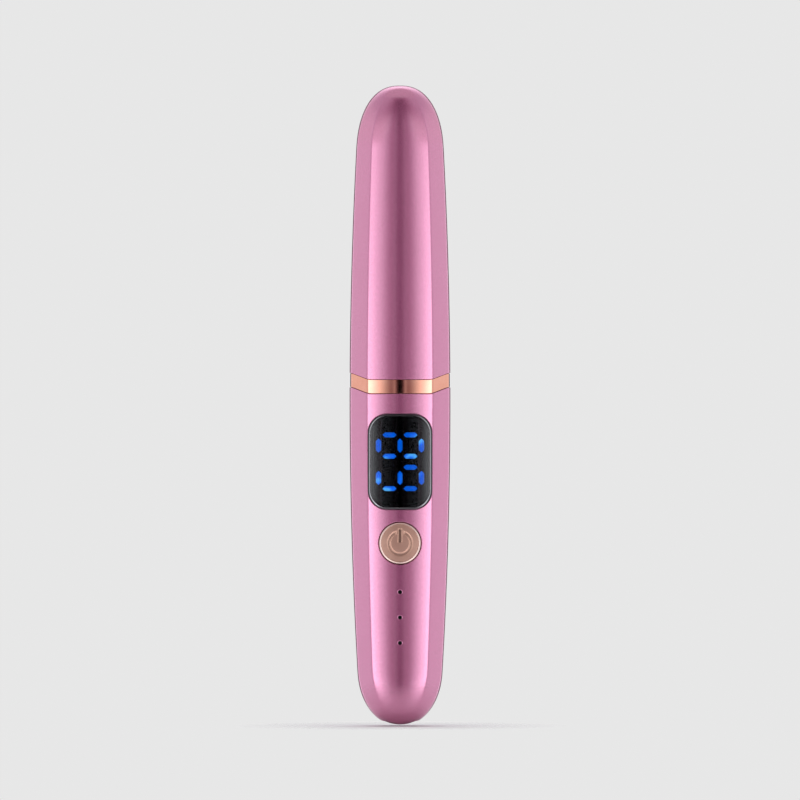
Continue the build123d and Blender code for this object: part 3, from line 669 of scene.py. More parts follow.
def fill_hole(solid, hole, outer, inner, out, inn, normals):
    """Joins the skin's open cells to one hole. Each of the last five is taken round the cells' loop: the points
    outside and inside, their vertex numbers, and the skin's normals."""
    z, outline_at, soft = hole["z"], hole["outline"], hole["round"]
    loop, inner_loop = (p[:, [0, 2]] - [0, z] for p in (outer, inner))
    angle = np.arctan2(loop[:, 1], loop[:, 0])
    rim = outline_at(angle, soft)
    flat = np.stack([mix(rim, loop, t) for t in np.linspace(1, 0, hole["rings"] + 1)[1:] ** 1.5])
    rings = np.concatenate([out[None], solid.put(on_front(flat, z))])
    ring_normals = np.concatenate([normals[None], front_normal(flat[..., 0], flat[..., 1] + z)])
    solid.band(rings, (0, -1, 0), ring_normals)
    # the rounded rim, then a ledge that the pane rests on, then the wall
    wall = [(outline_at(angle, soft * (1 - math.sin(t))), soft * (1 - math.cos(t))) for t in turns(5)]
    last = outline_at(angle, -LEDGE_WIDTH if hole["ledge"] else 0.0)
    if hole["ledge"]:
        edge = outline_at(angle, 0.0)
        wall += [(edge, LEDGE_DEPTH - 0.02), (edge, LEDGE_DEPTH), (last, LEDGE_DEPTH), (last, LEDGE_DEPTH + 0.02)]
    strip = [on_front(xz, z, back=back) for xz, back in wall] + [on_front(last, z, HANDLE_WALL)]
    ids = np.concatenate([rings[-1:], solid.put(np.stack(strip[1:]))])
    solid.band(ids, ([0, 0, z] - np.stack(strip)) * [1, 0, 1])
    flat = np.stack([mix(last, inner_loop, t) for t in (0.66, 0.33)])
    between = solid.put(on_front(flat, z, HANDLE_WALL))
    solid.band(np.concatenate([inn[None], between, ids[-1:]]), (0, 1, 0))


def handle_shell(u_low, u_high, side, holes):
    """One half of the handle. side is -1 in front and 1 behind."""
    solid = Solid()
    u = columns(u_low, u_high, [e for h in holes for e in h["u"]])
    heights, foot, top = handle_heights(bool(holes)), port_share(u), parting(u, RING_Z[0] - PARTING_GAP / 2)
    outer, z = handle_grid(u, heights, foot, top, 0.0, 1)
    inner, _ = handle_grid(u, heights, foot, top, HANDLE_WALL, 0)
    normals = grid_normals(outer)
    if (normals * (outer * [1, 1, 0])).sum() < 0:
        normals = -normals
    skip = np.zeros(z.shape, bool)
    loops = []
    for hole in holes:
        c0, c1 = (int(np.argmin(abs(u - e))) for e in hole["u"])
        r0, r1 = (int(np.argmin(abs(z[:, 0] - e))) for e in hole["rows"])
        skip[r0:r1, c0:c1] = True
        loop = [(r0, c) for c in range(c0, c1)] + [(r, c1) for r in range(r0, r1)]
        loop += [(r1, c) for c in range(c1, c0, -1)] + [(r, c0) for r in range(r1, r0, -1)]
        loops.append(tuple(np.array(v) for v in zip(*loop)))
    out, inn = solid.put(outer), solid.put(inner)
    solid.sheet(out, normals, normals, skip=skip)
    solid.sheet(inn, -outer * [1, 1, 0], skip=skip)
    for hole, at in zip(holes, loops):
        fill_hole(solid, hole, outer[at], inner[at], out[at], inn[at], normals[at])
    # rims: the parting line above, the port opening below and the seam down each side
    solid.sheet(np.stack([out[-1], inn[-1]]), (0, 0, 1))
    solid.sheet(np.stack([out[0], inn[0]]), (0, 0, -1))
    for c in (0, -1):
        solid.sheet(np.stack([out[:, c], inn[:, c]]), (0, -side, 0))
    return solid


def part_seam(solid, side):
    """Pulls a half away from the seam plane by half the gap, fading out 0.35 mm from it."""
    for block in solid.points:
        y = block[:, 1] * side
        near = smooth((0.35 - y) / 0.35)
        block[:, 1] = side * np.maximum(y + near * SEAM_GAP / 2, SEAM_GAP / 2)


def make_handle():
    for name, low, side, holes in (("handle_front", -1.5, -1, HOLES), ("handle_rear", 2.5, 1, ())):
        solid = handle_shell(low, low + 4, side, holes)
        part_seam(solid, side)
        solid.make(name, PINK, "pink_shell", name + "_shell")


# ---------------------------------------------------------------- ring and neck
def make_ring():
    solid = Solid()
    u = columns(0, 8)[:-1]
    levels = RING_Z[0] + PARTING_GAP / 2, RING_Z[1] - PARTING_GAP / 2
    low, high = (parting(u, level) for level in levels)
    step, reach = RING_INSET + STEP_DEPTH, PARTING_GAP - STEP_SHY

    def edge(z, way, t):
        return skin(u, z + way * RING_ROUND * (1 - math.sin(t)), inset=RING_INSET + RING_ROUND * (1 - math.cos(t)))
    steps = [skin(u, z, inset=step) for z in (low - reach, low, high, high + reach)]
    rows = steps[:2] + [edge(low, 1, t) for t in turns(5)[::-1]]
    rows += [skin(u, mix(low, high, w), inset=RING_INSET) for w in (0.2, 0.5, 0.8)]
    rows += [edge(high, -1, t) for t in turns(5)] + steps[2:]
    xy = outline(u, 0.0) * [NECK_HALF[0] + 0.04, NECK_HALF[1] + 0.04]
    outer = np.stack(rows)
    bore = np.stack([np.column_stack([xy, level + wave(xy[:, 0])]) for level in levels[::-1]])
    out, inn = solid.put(outer), solid.put(bore)
    solid.band(out, outer * [1, 1, 0])
    solid.band(inn, -bore * [1, 1, 0])
    solid.band(np.stack([out[-1], inn[0]]), (0, 0, 1))
    solid.band(np.stack([out[0], inn[1]]), (0, 0, -1))
    band = solid.make("trim_band", RING_GOLD, "rose_gold", "trim_ring")
    steps = np.concatenate(steps)
    # painted shade: the sunk steps beside the parting lines are darkened in colour, so the gaps read dark
    mark_painted_shade(band, lambda place: np.abs(place[:, None] - steps).sum(-1).min(1) < 0.004)


def mark_painted_shade(piece, rule):
    """Marks how far each vertex is sunk, for the gold's painted shade: a darker tone in the recesses. rule works
    it out from their places.
    """
    place = np.array([v.co for v in piece.data.vertices]) * 1000
    marks = piece.data.attributes.new("sunk", "FLOAT", "POINT")
    marks.data.foreach_set("value", rule(place).astype(np.float32))


def bend(a, corner, b, t):
    """Point at t of the curve that leaves a towards the corner and arrives at b."""
    return (1 - t) ** 2 * a + 2 * t * (1 - t) * corner + t * t * b


def rounded_profile(points, radii, steps=6):
    """A run of (a, b) points with its inner corners rounded."""
    points = np.asarray(points, float)
    out = [points[0]]
    for k in range(1, len(points) - 1):
        before, here, after = points[k - 1], points[k], points[k + 1]
        back, ahead = before - here, after - here
        lb, la = np.linalg.norm(back), np.linalg.norm(ahead)
        cut = min(radii[k - 1], lb * 0.45, la * 0.45)
        a, b = here + back / lb * cut, here + ahead / la * cut
        out += [bend(a, here, b, t) for t in np.linspace(0, 1, steps)]
    out.append(points[-1])
    return np.array(out)


def make_neck():
    """The neck's outer profile is points of (height, half width), and half depth is read off half width. Round
    the wand's socket at the top the section turns from the panels to an ellipse."""
    solid = Solid()
    u = columns(0, 8)[:-1]
    crisp, soft = outline(u, 0.0), outline(u, 1.0)
    shoulder, socket = (NECK_HALF[0] - 0.1, NECK_HALF[1] - 0.1), (STUB_HALF[0] + 0.1, STUB_HALF[1] + 0.1)
    widths, depths = zip(socket, NECK_TOP_HALF, shoulder, NECK_HALF)
    profile = rounded_profile([(SKIRT_TOP, NECK_HALF[0]), (NECK_SHOULDER, shoulder[0]),
                               (NECK_TOP, NECK_TOP_HALF[0]), (NECK_TOP, STUB_HALF[0] + 0.75),
                               (NECK_TOP, socket[0]), (NECK_TOP - 1.6, socket[0])],
                              (1.3, 0.75, 0.05, 0.22))
    # more rows on the long straight and the slope keep the reflections even
    dense = [profile[0]]
    for p in profile[1:]:
        start, count = dense[-1], math.ceil(abs(p - dense[-1]).max() / 1.5)
        dense += [mix(start, p, k / count) for k in range(1, count)] + [p]
    rows, turn_over = [], NECK_TOP_HALF[0] - STUB_HALF[0] - 0.4
    for z, a in dense:
        b = float(np.interp(a, widths, depths))
        turned = smooth((NECK_TOP_HALF[0] - a) / turn_over) if z > NECK_TOP - 2 else 0.0
        xy = mix(crisp, soft / np.hypot(soft[:, :1], soft[:, 1:]), turned) * [a, b]
        rows.append(np.column_stack([xy, np.full(len(u), z)]))
    skirt = [(SKIRT_TOP, *SKIRT_HALF), (NECK_BOTTOM, *SKIRT_HALF)]
    skirt += [(z, a - NECK_WALL, b - NECK_WALL) for z, (a, b) in (
        (NECK_BOTTOM, NECK_HALF), (NECK_SHOULDER, shoulder), (NECK_TOP - NECK_WALL, NECK_TOP_HALF))]
    outer = np.stack(rows)
    inner = np.stack([np.column_stack([crisp * [a, b], np.full(len(u), z)]) for z, a, b in skirt])
    out, inn = solid.put(outer), solid.put(inner)
    solid.band(out, outer * [1, 1, 0] + [0, 0, 3.0])
    solid.band(inn[:2], inner[:2] * [1, 1, 0])
    solid.band(inn[1:3], (0, 0, -1))
    solid.band(inn[2:], -inner[2:] * [1, 1, 0])
    solid.band(np.stack([out[0], inn[0]]), (0, 0, 1))
    solid.band(np.stack([out[-1], inn[-1]]), (0, 0, -1))
    solid.make("neck", PINK, "pink_shell", "neck_shell")


# ---------------------------------------------------------------- window, lit bars, button
def pane_y(x, z):
    """Front of the pane: level across the middle, turning down to the shell towards its long edges."""
    bend = np.clip((np.abs(x) / WINDOW_HALF[0] - PANE_FLAT) / (1 - PANE_FLAT), 0, None)
    return front_y(0.0 * x, z, -PANE_PROUD) + PANE_DROP * bend ** PANE_POWER


PANE_BOX = rounded_box(*WINDOW_HALF, WINDOW_CORNER)
PANE_ANGLE = np.linspace(0, 2 * math.pi, 320, endpoint=False)


def pane_edge(t, lift=0.0, inner=0.0, back=0.0):
    """Points round the pane's rolled edge at turn t, lifted off it, further in and set back."""
    xz = PANE_BOX(PANE_ANGLE, lift * math.cos(t) - PANE_ROLL * (1 - math.cos(t)) - inner)
    y = pane_y(xz[:, 0], xz[:, 1] + WINDOW_Z) + PANE_ROLL * 0.8 * (1 - math.sin(t)) - lift * math.sin(t)
    if back:
        y = np.minimum(y + back, front_y(xz[:, 0], xz[:, 1] + WINDOW_Z, BORDER_BACK))
    return stand(xz, y, WINDOW_Z)


def make_window():
    solid = Solid()
    rows = [pane_edge(t) for t in turns(9)]
    core, rim = PANE_BOX(PANE_ANGLE, -PANE_ROLL), PANE_BOX(PANE_ANGLE)
    for share in np.concatenate([np.linspace(1, 0.5, 26)[1:], np.linspace(0.45, 0, 6)]):
        xz = core * share
        rows.append(stand(xz, pane_y(xz[:, 0], xz[:, 1] + WINDOW_Z), WINDOW_Z))
    front = solid.put(np.stack(rows))
    rows = [on_front(rim * share, WINDOW_Z, PANE_BACK) for share in (1, 0.97, 0.8, 0.5, 0.25, 0)]
    behind = solid.put(np.stack(rows))
    solid.band(front, (0, -1, 0))
    solid.band(behind, (0, 1, 0))
    side = np.stack([front[0], behind[0]])
    solid.band(side, solid.at(side) * [1, 0, 1] - [0, 0, WINDOW_Z])
    solid.make("display_pane", PANE, "window_pane", "display_window")
    border = [{"t": 0.0, "back": 0.95}, *({"t": t} for t in np.linspace(0, PANE_EDGE_TURN, 7))]
    make_pane_skin("pane_border", border, PANE_BORDER)
    bevel = [{"t": t} for t in np.linspace(PANE_EDGE_TURN, math.pi / 2, 6)]
    make_pane_skin("pane_bevel", [*bevel, {"t": math.pi / 2, "inner": 0.06}], PANE_BEVEL)


def make_pane_skin(name, steps, material):
    """A thin skin over part of the pane's edge."""
    solid = Solid()
    skins = [solid.put(np.stack([pane_edge(lift=lift, **step) for step in steps])) for lift in SKIN_LIFTS]
    outward = (solid.at(skins[0]) - [0, 0, WINDOW_Z]) * [1, 0, 1] - [0, 2, 0]
    for skin_rows, way in zip(skins, (1, -1)):
        solid.band(skin_rows, way * outward)
    for row, way in ((0, 1), (-1, 0.5)):
        solid.band(np.stack([skins[0][row], skins[1][row]]), (0, way, 0))
    solid.make(name, material, "window_pane")


def bar_places():
    """(x, z, upright, lit) of each bar of two digits lying on their sides."""
    for row in (0, 1):
        top = WINDOW_Z + (0.5 - row) * DIGIT_PITCH + SEGMENT_PITCH / 2
        for column in (-1, 0, 1):
            yield column * SEGMENT_PITCH, top - SEGMENT_PITCH / 2, True, True
        for column in (-0.5, 0.5):
            yield column * SEGMENT_PITCH, top, False, not (row == 1 and column < 0)
            yield column * SEGMENT_PITCH, top - SEGMENT_PITCH, False, True


def bar_ring(grow, upright):
    """Outline of one bar: a strip whose pointed ends are a little rounded."""
    length, half = SEGMENT_LENGTH / 2 + grow, SEGMENT_WIDTH / 2 + grow
    corners = np.array([(length, 0), (length - half, half), (half - length, half), (-length, 0),
                        (half - length, -half), (length - half, -half)])
    points = []
    for before, here, after in zip(np.roll(corners, 1, 0), corners, np.roll(corners, -1, 0)):
        points += [bend(mix(here, before, 0.12), here, mix(here, after, 0.12), t) for t in np.linspace(0, 1, 4)]
    points = np.array(points)
    return points[:, ::-1] if upright else points


def make_bars():
    for wanted, name, material, slot, nodes, thick in (
        (True, "lit_bars", LIT, "segment_light", ["display_segments"], 0.10),
        (False, "dark_bar", plastic("unlit_bar", (0.030, 0.034, 0.045), 0.5), "display_case", [], 0.05),
    ):
        solid = Solid()
        steps = ((-0.64, 0), (0, 0), (0, 0.04 - thick), (-0.04, -thick), (-0.3, -thick), (-0.64, -thick))
        for x, z, upright, lit in bar_places():
            if lit != wanted:
                continue
            ids = solid.put(np.stack([stand(bar_ring(grow, upright) + [x, 0], MODULE_FACE_Y + y, z)
                                      for grow, y in steps]))
            solid.band(ids[:2], (0, 1, 0))
            solid.band(ids[1:3], solid.at(ids[1:3]) - [x, MODULE_FACE_Y, z])
            solid.band(ids[2:], (0, -1, 0))
            solid.sheet(np.stack([ids[0], ids[0][::-1]]), (0, 1, 0))
            solid.sheet(np.stack([ids[-1], ids[-1][::-1]]), (0, -1, 0))
        solid.make(name, material, slot, *nodes)


def symbol_depth(x, z):
    """How far the power symbol is sunk at x and z from the button's centre, and 1 to 0 across its bar's edge."""
    ring = np.abs(np.hypot(x, z) - SYMBOL_RADIUS) - SYMBOL_HALF
    ring = np.where(z > 0, np.maximum(ring, RING_OPENING - np.abs(x)), ring)
    bar = np.maximum(np.abs(x) - BAR_HALF, np.abs(z - BAR_MIDDLE) - BAR_HALF_LENGTH)
    return SYMBOL_DEPTH * smooth(0.5 - np.minimum(ring, bar) / SYMBOL_EDGE), smooth(0.5 - bar / SYMBOL_EDGE)


def make_button():
    solid = Solid()
    angle = np.linspace(0, 2 * math.pi, 288, endpoint=False)
    circle = np.stack([np.cos(angle), np.sin(angle)], -1)

    def ring(r, y):
        return stand(r * circle, y, BUTTON_Z)
    rows = []
    for r in (*np.linspace(0.0, 1.9, 20), *np.linspace(1.95, 3.6, 40), *np.linspace(3.65, FACE_EDGE, 10)):
        sunk = symbol_depth(*(r * circle).T)[0]
        rows.append(ring(r, BUTTON_FACE_Y + r * r / FACE_CROWN + 0.06 + sunk))
    face_y = BUTTON_FACE_Y + FACE_EDGE ** 2 / FACE_CROWN
    for t in np.linspace(0.25, 1, 4):
        rows.append(ring(mix(FACE_EDGE, RIM_IN, t), face_y + 0.06 - 0.06 * smooth(t)))
    # the rim: a short flat, a chamfer and a rounded drop into the gap
    for r, drop in ((4.77, -0.005), (RIM_OUT, 0.005), (4.87, 0.035), (4.93, 0.082), (4.99, 0.130), (5.05, 0.182),
                    (5.10, 0.235), (5.14, 0.30), (BUTTON_RADIUS, 0.38), (BUTTON_RADIUS, 0.6)):
        rows.append(ring(r, face_y + drop))
    rows += [ring(BUTTON_RADIUS, FLANGE_FRONT - 0.05), ring(BUTTON_RADIUS, FLANGE_FRONT),
             ring(FLANGE_RADIUS, FLANGE_FRONT)]
    front = np.stack(rows)
    ids = solid.put(front)
    solid.band(ids[:-2], (0, -1, 0) + (front[:-2] - [0, 0, BUTTON_Z]) * [0.5, 0, 0.5])
    solid.band(ids[-2:], (0, -1, 0))
    back = np.stack([ring(r, y) for r, y in (
        (FLANGE_RADIUS, FLANGE_FRONT), (FLANGE_RADIUS, FLANGE_BACK), (STEM_RADIUS, FLANGE_BACK),
        (STEM_RADIUS, STEM_BACK), (0.7, STEM_BACK), (0, STEM_BACK))])
    ids = solid.put(back)
    solid.band(ids[:2], back[:2] - [0, 0, BUTTON_Z])
    solid.band(ids[1:3], (0, 1, 0))
    solid.band(ids[2:4], (back[2:4] - [0, 0, BUTTON_Z]) * [1, 0, 1])
    solid.band(ids[3:], (0, 1, 0))

    # painted shade: the power symbol's sunk ring and bar are darkened in colour, the bar most
    def painted_shade_share(place):
        x, z = place[:, 0], place[:, 2] - BUTTON_Z
        depth, in_bar = symbol_depth(x, z)
        on_face = (place[:, 1] < -8.6) & (np.hypot(x, z) < FACE_EDGE)
        return np.maximum(0.40 * depth / SYMBOL_DEPTH, in_bar) * on_face
    mark_painted_shade(solid.make("button", BUTTON_GOLD, "rose_gold", "power_button", body="button"), painted_shade_share)


# ---------------------------------------------------------------- wand
def wand_middle(z):
    return WAND_APEX_Y - (WAND_RADIUS - np.sqrt(WAND_RADIUS ** 2 - (np.asarray(z, float) - WAND_APEX_Z) ** 2))


def flare(z):
    t = np.clip((FLARE_END - np.asarray(z, float)) / (FLARE_END - WAND_COLLAR), 0, 1)
    return t ** FLARE_POWER


def wand_centre(z):
    return wand_middle(z) * (1 - flare(z))


def wand_half(z):
    """Half width and half depth of the wand at z, rounded off at the tip."""
    spread = flare(z)
    tip = dome_share(WAND_TIP - np.asarray(z, float), TIP_DOME, 2.0)
    return mix(STEM_HALF[0], FOOT_HALF[0], spread) * tip, mix(STEM_HALF[1], FOOT_HALF[1], spread) * tip


def half_shell(solid, rows, side, ends=True):
    """A closed half of the wand over rows of (height, how far the outline is drawn in). side is -1 in front and
    1 behind."""
    arc_out = np.linspace(-math.pi / 2, math.pi / 2, 37)
    arc_in = np.linspace(math.pi / 2, -math.pi / 2, 19)
    points = []
    for z, cut in rows:
        a, b = (max(float(v) - cut, 0.0) for v in wand_half(z))
        c = float(wand_centre(z))
        # the bore closes to a point towards the tip
        bore = min(BORE_RADIUS, max(0.0, BORE_RADIUS - (z - BORE_END) * 8), a * 0.9, b * 0.9)
        loop = np.concatenate([np.stack([x * np.sin(arc), c + side * (HALF_GAP + y * np.cos(arc))], -1)
                               for arc, x, y in ((arc_out, a, b), (arc_in, bore, bore))])
        points.append(np.column_stack([loop, np.full(len(loop), z)]))
    points = np.stack(points)
    ids, n_out = solid.put(points), len(arc_out)
    heights = np.array([z for z, _ in rows])
    centre = np.stack([0 * heights, wand_centre(heights), heights], -1)[:, None]
    solid.sheet(ids[:, :n_out], (points[:, :n_out] - centre) * [1, 1, 0])
    solid.sheet(ids[:, n_out:], (centre - points[:, n_out:]) * [1, 1, 0] + [0, side * 0.01, 0])
    for pair in ([n_out - 1, n_out], [0, -1]):
        solid.sheet(ids[:, pair], (0, -side, 0))
    if ends:
        for row, up in ((0, -1), (-1, 1)):
            outer, inner = ids[row, :n_out], ids[row, n_out:][::-1]
            inner = inner[np.round(np.linspace(0, len(inner) - 1, n_out)).astype(int)]
            solid.sheet(np.stack([outer, inner]), (0, 0, up))


def end_rows(z, way, radius, count):
    """Rows of (height, how far in) round the edge of an end at z, upwards. way is 1 at a lower end, else -1."""
    return [(z + way * radius * (1 - math.sin(t)), radius * (1 - math.cos(t))) for t in turns(count)[::-way]]


def plain_rows(heights):
    return [(z, 0.0) for z in heights]


def make_comb():
    low, dome = NECK_TOP + 0.05, WAND_TIP - TIP_DOME
    tip = plain_rows(WAND_TIP - TIP_DOME * (1 - math.sin(t)) for t in np.linspace(0.05, math.pi / 2, 14))
    grooves = [GROOVE_FIRST + GROOVE_PITCH * k for k in range(GROOVES)]
    starts = [low] + [g + GROOVE_HEIGHT / 2 for g in grooves]
    stops = [g - GROOVE_HEIGHT / 2 for g in grooves]
    ribs, floors = Solid(), Solid()
    for z0, z1, after in zip(starts, stops, starts[1:]):
        count = max(2, math.ceil((z1 - z0) / 0.7))
        middle = plain_rows(np.linspace(z0 + RIB_ROUND, z1 - RIB_ROUND, count)[1:-1])
        half_shell(ribs, end_rows(z0, 1, RIB_ROUND, 5) + middle + end_rows(z1, -1, RIB_ROUND, 5), -1)
        half_shell(floors, [(z, GROOVE_DEPTH) for z in np.linspace(z1 - 0.12, after + 0.12, 4)], -1, ends=False)
    middle = plain_rows(np.linspace(starts[-1] + RIB_ROUND + 0.1, dome, 3))
    half_shell(ribs, end_rows(starts[-1], 1, RIB_ROUND, 5) + middle + tip, -1)
    floors.make("groove_floors", NAVY, "black_comb")
    # the strips that tie the ribs together on each side of the split
    for side in (-1, 1):
        rows = []
        for z in np.linspace(grooves[0] - 1, grooves[-1] + 1, 60):
            a, b = (float(v) for v in wand_half(z))
            c = float(wand_centre(z))
            reach = a * math.sqrt(max(0.0, 1 - (RIB_TIE / b) ** 2)) - 0.08
            rows.append([(x * side, c - back, z) for x, back in (
                (BORE_RADIUS, HALF_GAP), (a - 0.05, HALF_GAP), (reach, RIB_TIE), (BORE_RADIUS, RIB_TIE))])
        ids = ribs.put(rows)
        for k, facing in enumerate(((0, 1, 0), (side, -0.2, 0), (0, -1, 0), (-side, 0, 0))):
            ribs.sheet(ids[:, [k, (k + 1) % 4]], facing)
        for row, up in ((0, -1), (-1, 1)):
            ribs.sheet(ids[row][[[0, 1], [3, 2]]], (0, 0, up))
    ribs.make("comb_ribs", COMB, "black_comb", "comb_front")
    spine = Solid()
    body = plain_rows(np.linspace(low + 0.4, dome, 70))
    half_shell(spine, end_rows(low, 1, SPINE_ROUND, 4) + body + tip, 1)
    spine.make("comb_spine", COMB, "black_comb", "comb_back")


def tube(solid, path, radius, sides=10):
    """A closed round tube along a path of points."""
    path = np.asarray(path, float)
    ahead = np.gradient(path, axis=0)
    ahead /= np.linalg.norm(ahead, axis=1, keepdims=True)
    rows, across = [], np.array([1.0, 0, 0]) - ahead[0] * ahead[0][0]
    if np.linalg.norm(across) < 0.2:
        across = np.array([0, 1.0, 0]) - ahead[0] * ahead[0][1]
    angle = np.linspace(0, 2 * math.pi, sides, endpoint=False)[:, None]
    for p, t in zip(path, ahead):
        across = across - t * (across @ t)
        across /= np.linalg.norm(across)
        other = np.cross(t, across)
        rows.append(p + radius * (np.cos(angle) * across + np.sin(angle) * other))
    rows = np.stack(rows)
    ids = solid.put(rows)
    solid.band(ids, rows - path[:, None])
    for row, sign in ((0, -1), (-1, 1)):
        tip = solid.put(np.broadcast_to(path[row], (sides, 3)))
        solid.band(np.stack([ids[row], tip]), sign * ahead[row])


def make_heater():
    zs = np.linspace(100.4, 146.1, 100)
    solid = Solid()
    tube(solid, np.stack([0 * zs, wand_centre(zs), zs], -1), ROD_RADIUS, 40)
    solid.make("ceramic_rod", CERAMIC, "ceramic_heater", "heater_rod")
    # one wire: level across each groove, stepping up behind the rod, crimped in front on each side of the middle
    solid = Solid()
    step = np.linspace(-math.pi, 2 * math.pi * GROOVES, 96 * GROOVES + 49)
    turn, angle = np.floor(step / (2 * math.pi)), step % (2 * math.pi)
    back = np.abs(angle - math.pi) / math.pi       # 1 in front, 0 behind
    half_rise = 0.5 * smooth(1 - back / 0.55)
    rise = np.where(angle < math.pi, half_rise, 1 - half_rise)
    front = np.minimum(angle, 2 * math.pi - angle)
    crimp = CRIMP * np.sin(front * np.sign(math.pi - angle) * 22) * smooth((CRIMP_REACH - front) / 0.12)
    z = GROOVE_FIRST + GROOVE_PITCH * (turn + rise) + crimp
    keep = z < GROOVE_FIRST + GROOVE_PITCH * (GROOVES - 1) + 0.5
    z, angle, front = z[keep], angle[keep], front[keep]
    # in front it lies on the groove's floor, and it dips in beside the split to go round behind the rod
    half_x, half_y = wand_half(z)
    on_floor = smooth((1.42 - front) / 0.2)
    behind = ROD_RADIUS + 0.25
    radius_x, radius_y = (mix(behind, half - GROOVE_DEPTH + 0.04, on_floor) for half in (half_x, half_y))
    path = np.stack([radius_x * np.sin(angle), wand_centre(z) - radius_y * np.cos(angle), z], -1)
    tube(solid, path, WIRE_RADIUS, 8)
    solid.make("heating_coil", WIRE, "resistance_wire", "heater_winding")


# ---------------------------------------------------------------- port contacts
def block(solid, low, high):
    """A closed box with slightly cut upright edges."""
    low, high = np.asarray(low, float), np.asarray(high, float)
    cut = 0.12 * (high - low).min()
    (x0, y0, z0), (x1, y1, z1) = low, high
    ring = [(x0 + cut, y0), (x1 - cut, y0), (x1, y0 + cut), (x1, y1 - cut),
            (x1 - cut, y1), (x0 + cut, y1), (x0, y1 - cut), (x0, y0 + cut)]
    middle = (low + high) / 2
    steps = ((z0, 0.0), (z0, 0.9), (z0 + cut, 1.0), (z1 - cut, 1.0), (z1, 0.9), (z1, 0.0))
    rows = np.array([[(mix(middle[0], x, k), mix(middle[1], y, k), z) for x, y in ring] for z, k in steps])
    ids = solid.put(rows)
    solid.band(ids[:2], (0, 0, -1))
    solid.band(ids[1:5], rows[1:5] - middle)
    solid.band(ids[4:], (0, 0, 1))


def make_contacts():
    solid = Solid()
    for side in (-1, 1):
        near, far = sorted(side * y for y in CONTACT_Y)
        for k in range(CONTACTS):
            x = (k - (CONTACTS - 1) / 2) * CONTACT_PITCH
            block(solid, (x - 0.12, near, CONTACT_Z[0]), (x + 0.12, far, CONTACT_Z[1]))
    solid.make("port_contacts", metal("contact_gold", (0.92, 0.66, 0.28), 0.25), "port_steel")


# ---------------------------------------------------------------- CAD nodes that stay
def dress_nodes():
    looks = {
        "heat_sensor": plastic("amber_glass_bead", (0.55, 0.22, 0.03), 0.12, 0.6, 0.004, Coat_Weight=0.6),
        "wand_clamp": NYLON,
        "clamp_screws": STEEL,
        "heater_leads": plastic("black_silicone", (0.03, 0.03, 0.03), 0.6, 0.2, 0.01),
        "window_gasket": NYLON,
        "display_module": plastic("display_case_black", (0.004, 0.004, 0.005), 0.7, 0.25, 0.01),
        "tact_switch": metal("stamped_steel", (0.62, 0.62, 0.64), 0.32, (0.1, 1.0, 1.0)),
        "switch_plunger": black_nylon("plunger_nylon", roughness=0.45),
        "indicator_pipes": plastic("smoked_light_pipe", (0.003, 0.002, 0.003), 0.45, 0.4, 0.004,
                                   Specular_IOR_Level=0.12),
        "indicator_diodes": plastic("diode_phosphor", (0.80, 0.74, 0.42), 0.4, 0.2, 0.006),
        "main_board": plastic("green_solder_mask", (0.010, 0.130, 0.050), 0.35, 0.35, 0.012, 0.3),
        "board_chips": plastic("chip_epoxy", (0.015, 0.015, 0.016), 0.55, 0.12, 0.008),
        "board_screws": metal("zinc_screw", (0.63, 0.63, 0.60), 0.3, (1.0, 0.1, 1.0)),
        "carrier_frame": plastic("natural_abs", (0.72, 0.70, 0.64), 0.5, 0.4, 0.01, 0.06),
        "battery_cell": metal("pouch_foil", (0.62, 0.63, 0.66), 0.4, (1.0, 0.4, 1.0)),
        "battery_pad": plastic("black_foam", (0.02, 0.02, 0.02), 0.95, 0.5, 0.08, 0.4),
        "battery_leads": plastic("red_silicone", (0.45, 0.015, 0.010), 0.55, 0.2, 0.01),
        "usb_shell": STEEL,
        "usb_tongue": NYLON,
    }
    for name, material in looks.items():
        slots = NODES[name].data.materials
        if not slots:
            slots.append(material)
        for k in range(len(slots)):
            slots[k] = material


# ---------------------------------------------------------------- studio
BACKDROP, RAMP_TOP, FRAME_WIDTH, AIM_Z = 0.80, 3.0, 0.200, 0.0814
# light from around the object, as (angle from the front in degrees, brightness): near the horizon, higher up
# and below
LEVEL_LIGHT = ((0, 0.0), (2, 0.0), (3.4, 0.06), (5, 0.26), (6.5, 0.48), (8.5, 0.28), (11.7, 0.30), (16.4, 0.55),
               (21, 0.90), (26, 1.3), (30.8, 1.8), (35.7, 2.5), (42, 2.5), (48, 1.5), (54, 0.85), (62, 0.6),
               (75, 0.78), (89, 0.90), (106, 0.90), (122, 1.05), (134, 1.30), (146, 1.30), (153, 0.4), (160, 0.12),
               (180, 0.10))
HIGH_LIGHT = ((0, 0.03), (10, 0.08), (23, 0.26), (33, 0.42), (42, 0.52), (60, 0.57), (110, 0.62), (140, 1.0),
              (160, 1.5), (180, 1.7))
LOW_LIGHT = ((0, 0.92), (12, 0.96), (30, 1.36), (44, 1.40), (60, 1.15), (120, 1.08), (180, 1.05))
CARD_TINT, LAMP_TINT = (1.0, 0.53, 0.73), (0.98, 0.99, 1.05)   # dark cards are a deep rose, bright ones cool


def light_stops(levels):
    for angle, level in levels:
        pale = min(1.0, level / 0.6)
        yield angle / 180, [level / RAMP_TOP * mix(c, lamp, pale) for c, lamp in zip(CARD_TINT, LAMP_TINT)]


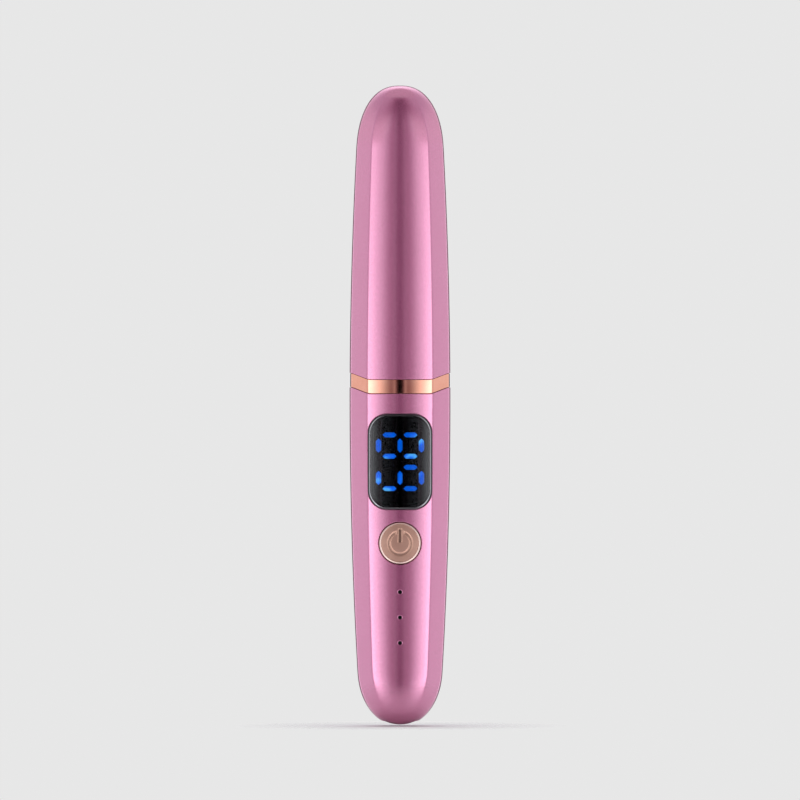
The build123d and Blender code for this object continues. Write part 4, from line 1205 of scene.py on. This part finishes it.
def make_world():
    """Ramps round the object, blended over the height of the direction. The camera sees a plain backdrop."""
    world = bpy.data.worlds.new("studio")
    bpy.context.scene.world = world
    world.use_nodes = True
    world.node_tree.nodes.clear()
    sky = Nodes(world.node_tree)
    x, y, up = sky.add("SeparateXYZ", {0: sky.add("TexCoord").outputs["Generated"]}).outputs
    turn = sky.math("ARCTAN2", sky.math("ABSOLUTE", x), sky.math("MULTIPLY", y, -1.0))
    turn = sky.math("DIVIDE", turn, math.pi)
    level, high, low = (sky.ramp(turn, *light_stops(s)) for s in (LEVEL_LIGHT, HIGH_LIGHT, LOW_LIGHT))

    def over(start, end, below, above, kind="MIX"):
        share = sky.remap(up, start, end, 0.0, 1.0, interpolation_type="SMOOTHSTEP")
        return sky.blend(share, below, above, kind)

    def grey(brightness):
        return (*[brightness / RAMP_TOP] * 3, 1.0)
    light = over(-0.02, 0.22, level, grey(0.90), "DARKEN")
    light = over(0.32, 0.68, light, high)
    light = over(0.87, 0.92, light, grey(0.62))
    light = over(-0.88, -0.36, low, light)
    lit = sky.add("Background", {"Color": light, "Strength": RAMP_TOP})
    seen = sky.add("Background", {"Color": (BACKDROP, BACKDROP, BACKDROP, 1.0)})
    camera_ray = sky.add("LightPath").outputs["Is Camera Ray"]
    pick = sky.add("MixShader", {0: camera_ray, 1: lit.outputs[0], 2: seen.outputs[0]})
    sky.add("OutputWorld", {"Surface": pick.outputs[0]})


def make_floor():
    """A pale floor that fades into the backdrop around the object."""
    size, rings, sides, z = 0.9, 30, 72, -0.00005
    turn = np.linspace(0, 2 * math.pi, sides, endpoint=False)
    verts = [(size * (r / rings) * math.cos(a), size * (r / rings) * math.sin(a), z)
             for r in range(1, rings + 1) for a in turn]
    faces = [tuple(range(sides))]
    for r in range(rings - 1):
        for k in range(sides):
            a, b = r * sides + k, r * sides + (k + 1) % sides
            faces.append((a, b, b + sides, a + sides))
    mesh = bpy.data.meshes.new("floor")
    mesh.from_pydata(verts, [], faces)
    look = Look("pale_floor", Roughness=0.7)
    look.set("Base Color", look.ramp(look.noise(300, 2.0), (0.3, (0.79, 0.79, 0.79)), (0.7, (0.80, 0.80, 0.80))))
    distance = look.add("VectorMath", {0: look.place}, operation="LENGTH").outputs["Value"]
    look.set("Alpha", look.remap(distance, 0.006, 0.042, 1.0, 0.0))
    mesh.materials.append(look.material)
    placed("floor", mesh)


def make_lights_and_camera():
    data = bpy.data.lights.new("top_light", "AREA")
    data.shape, data.size, data.energy = "DISK", 0.7, 3.0
    lamp = placed("top_light", data)
    lamp.location = (0.0, 0.0, 1.2)
    lamp.visible_glossy = False
    data = bpy.data.cameras.new("camera")
    data.lens, data.sensor_width = 600.0, 36.0
    data.clip_start, data.clip_end = 0.05, 50.0
    camera = placed("camera", data)
    camera.location = (0.0, -FRAME_WIDTH * data.lens / data.sensor_width, AIM_Z)
    camera.rotation_euler = (math.pi / 2, 0, 0)
    bpy.context.scene.camera = camera
    bpy.context.scene.view_settings.view_transform = "Standard"


make_cap()
make_handle()
make_ring()
make_neck()
make_window()
make_bars()
make_button()
make_comb()
make_heater()
make_contacts()
dress_nodes()
make_world()
make_floor()
make_lights_and_camera()
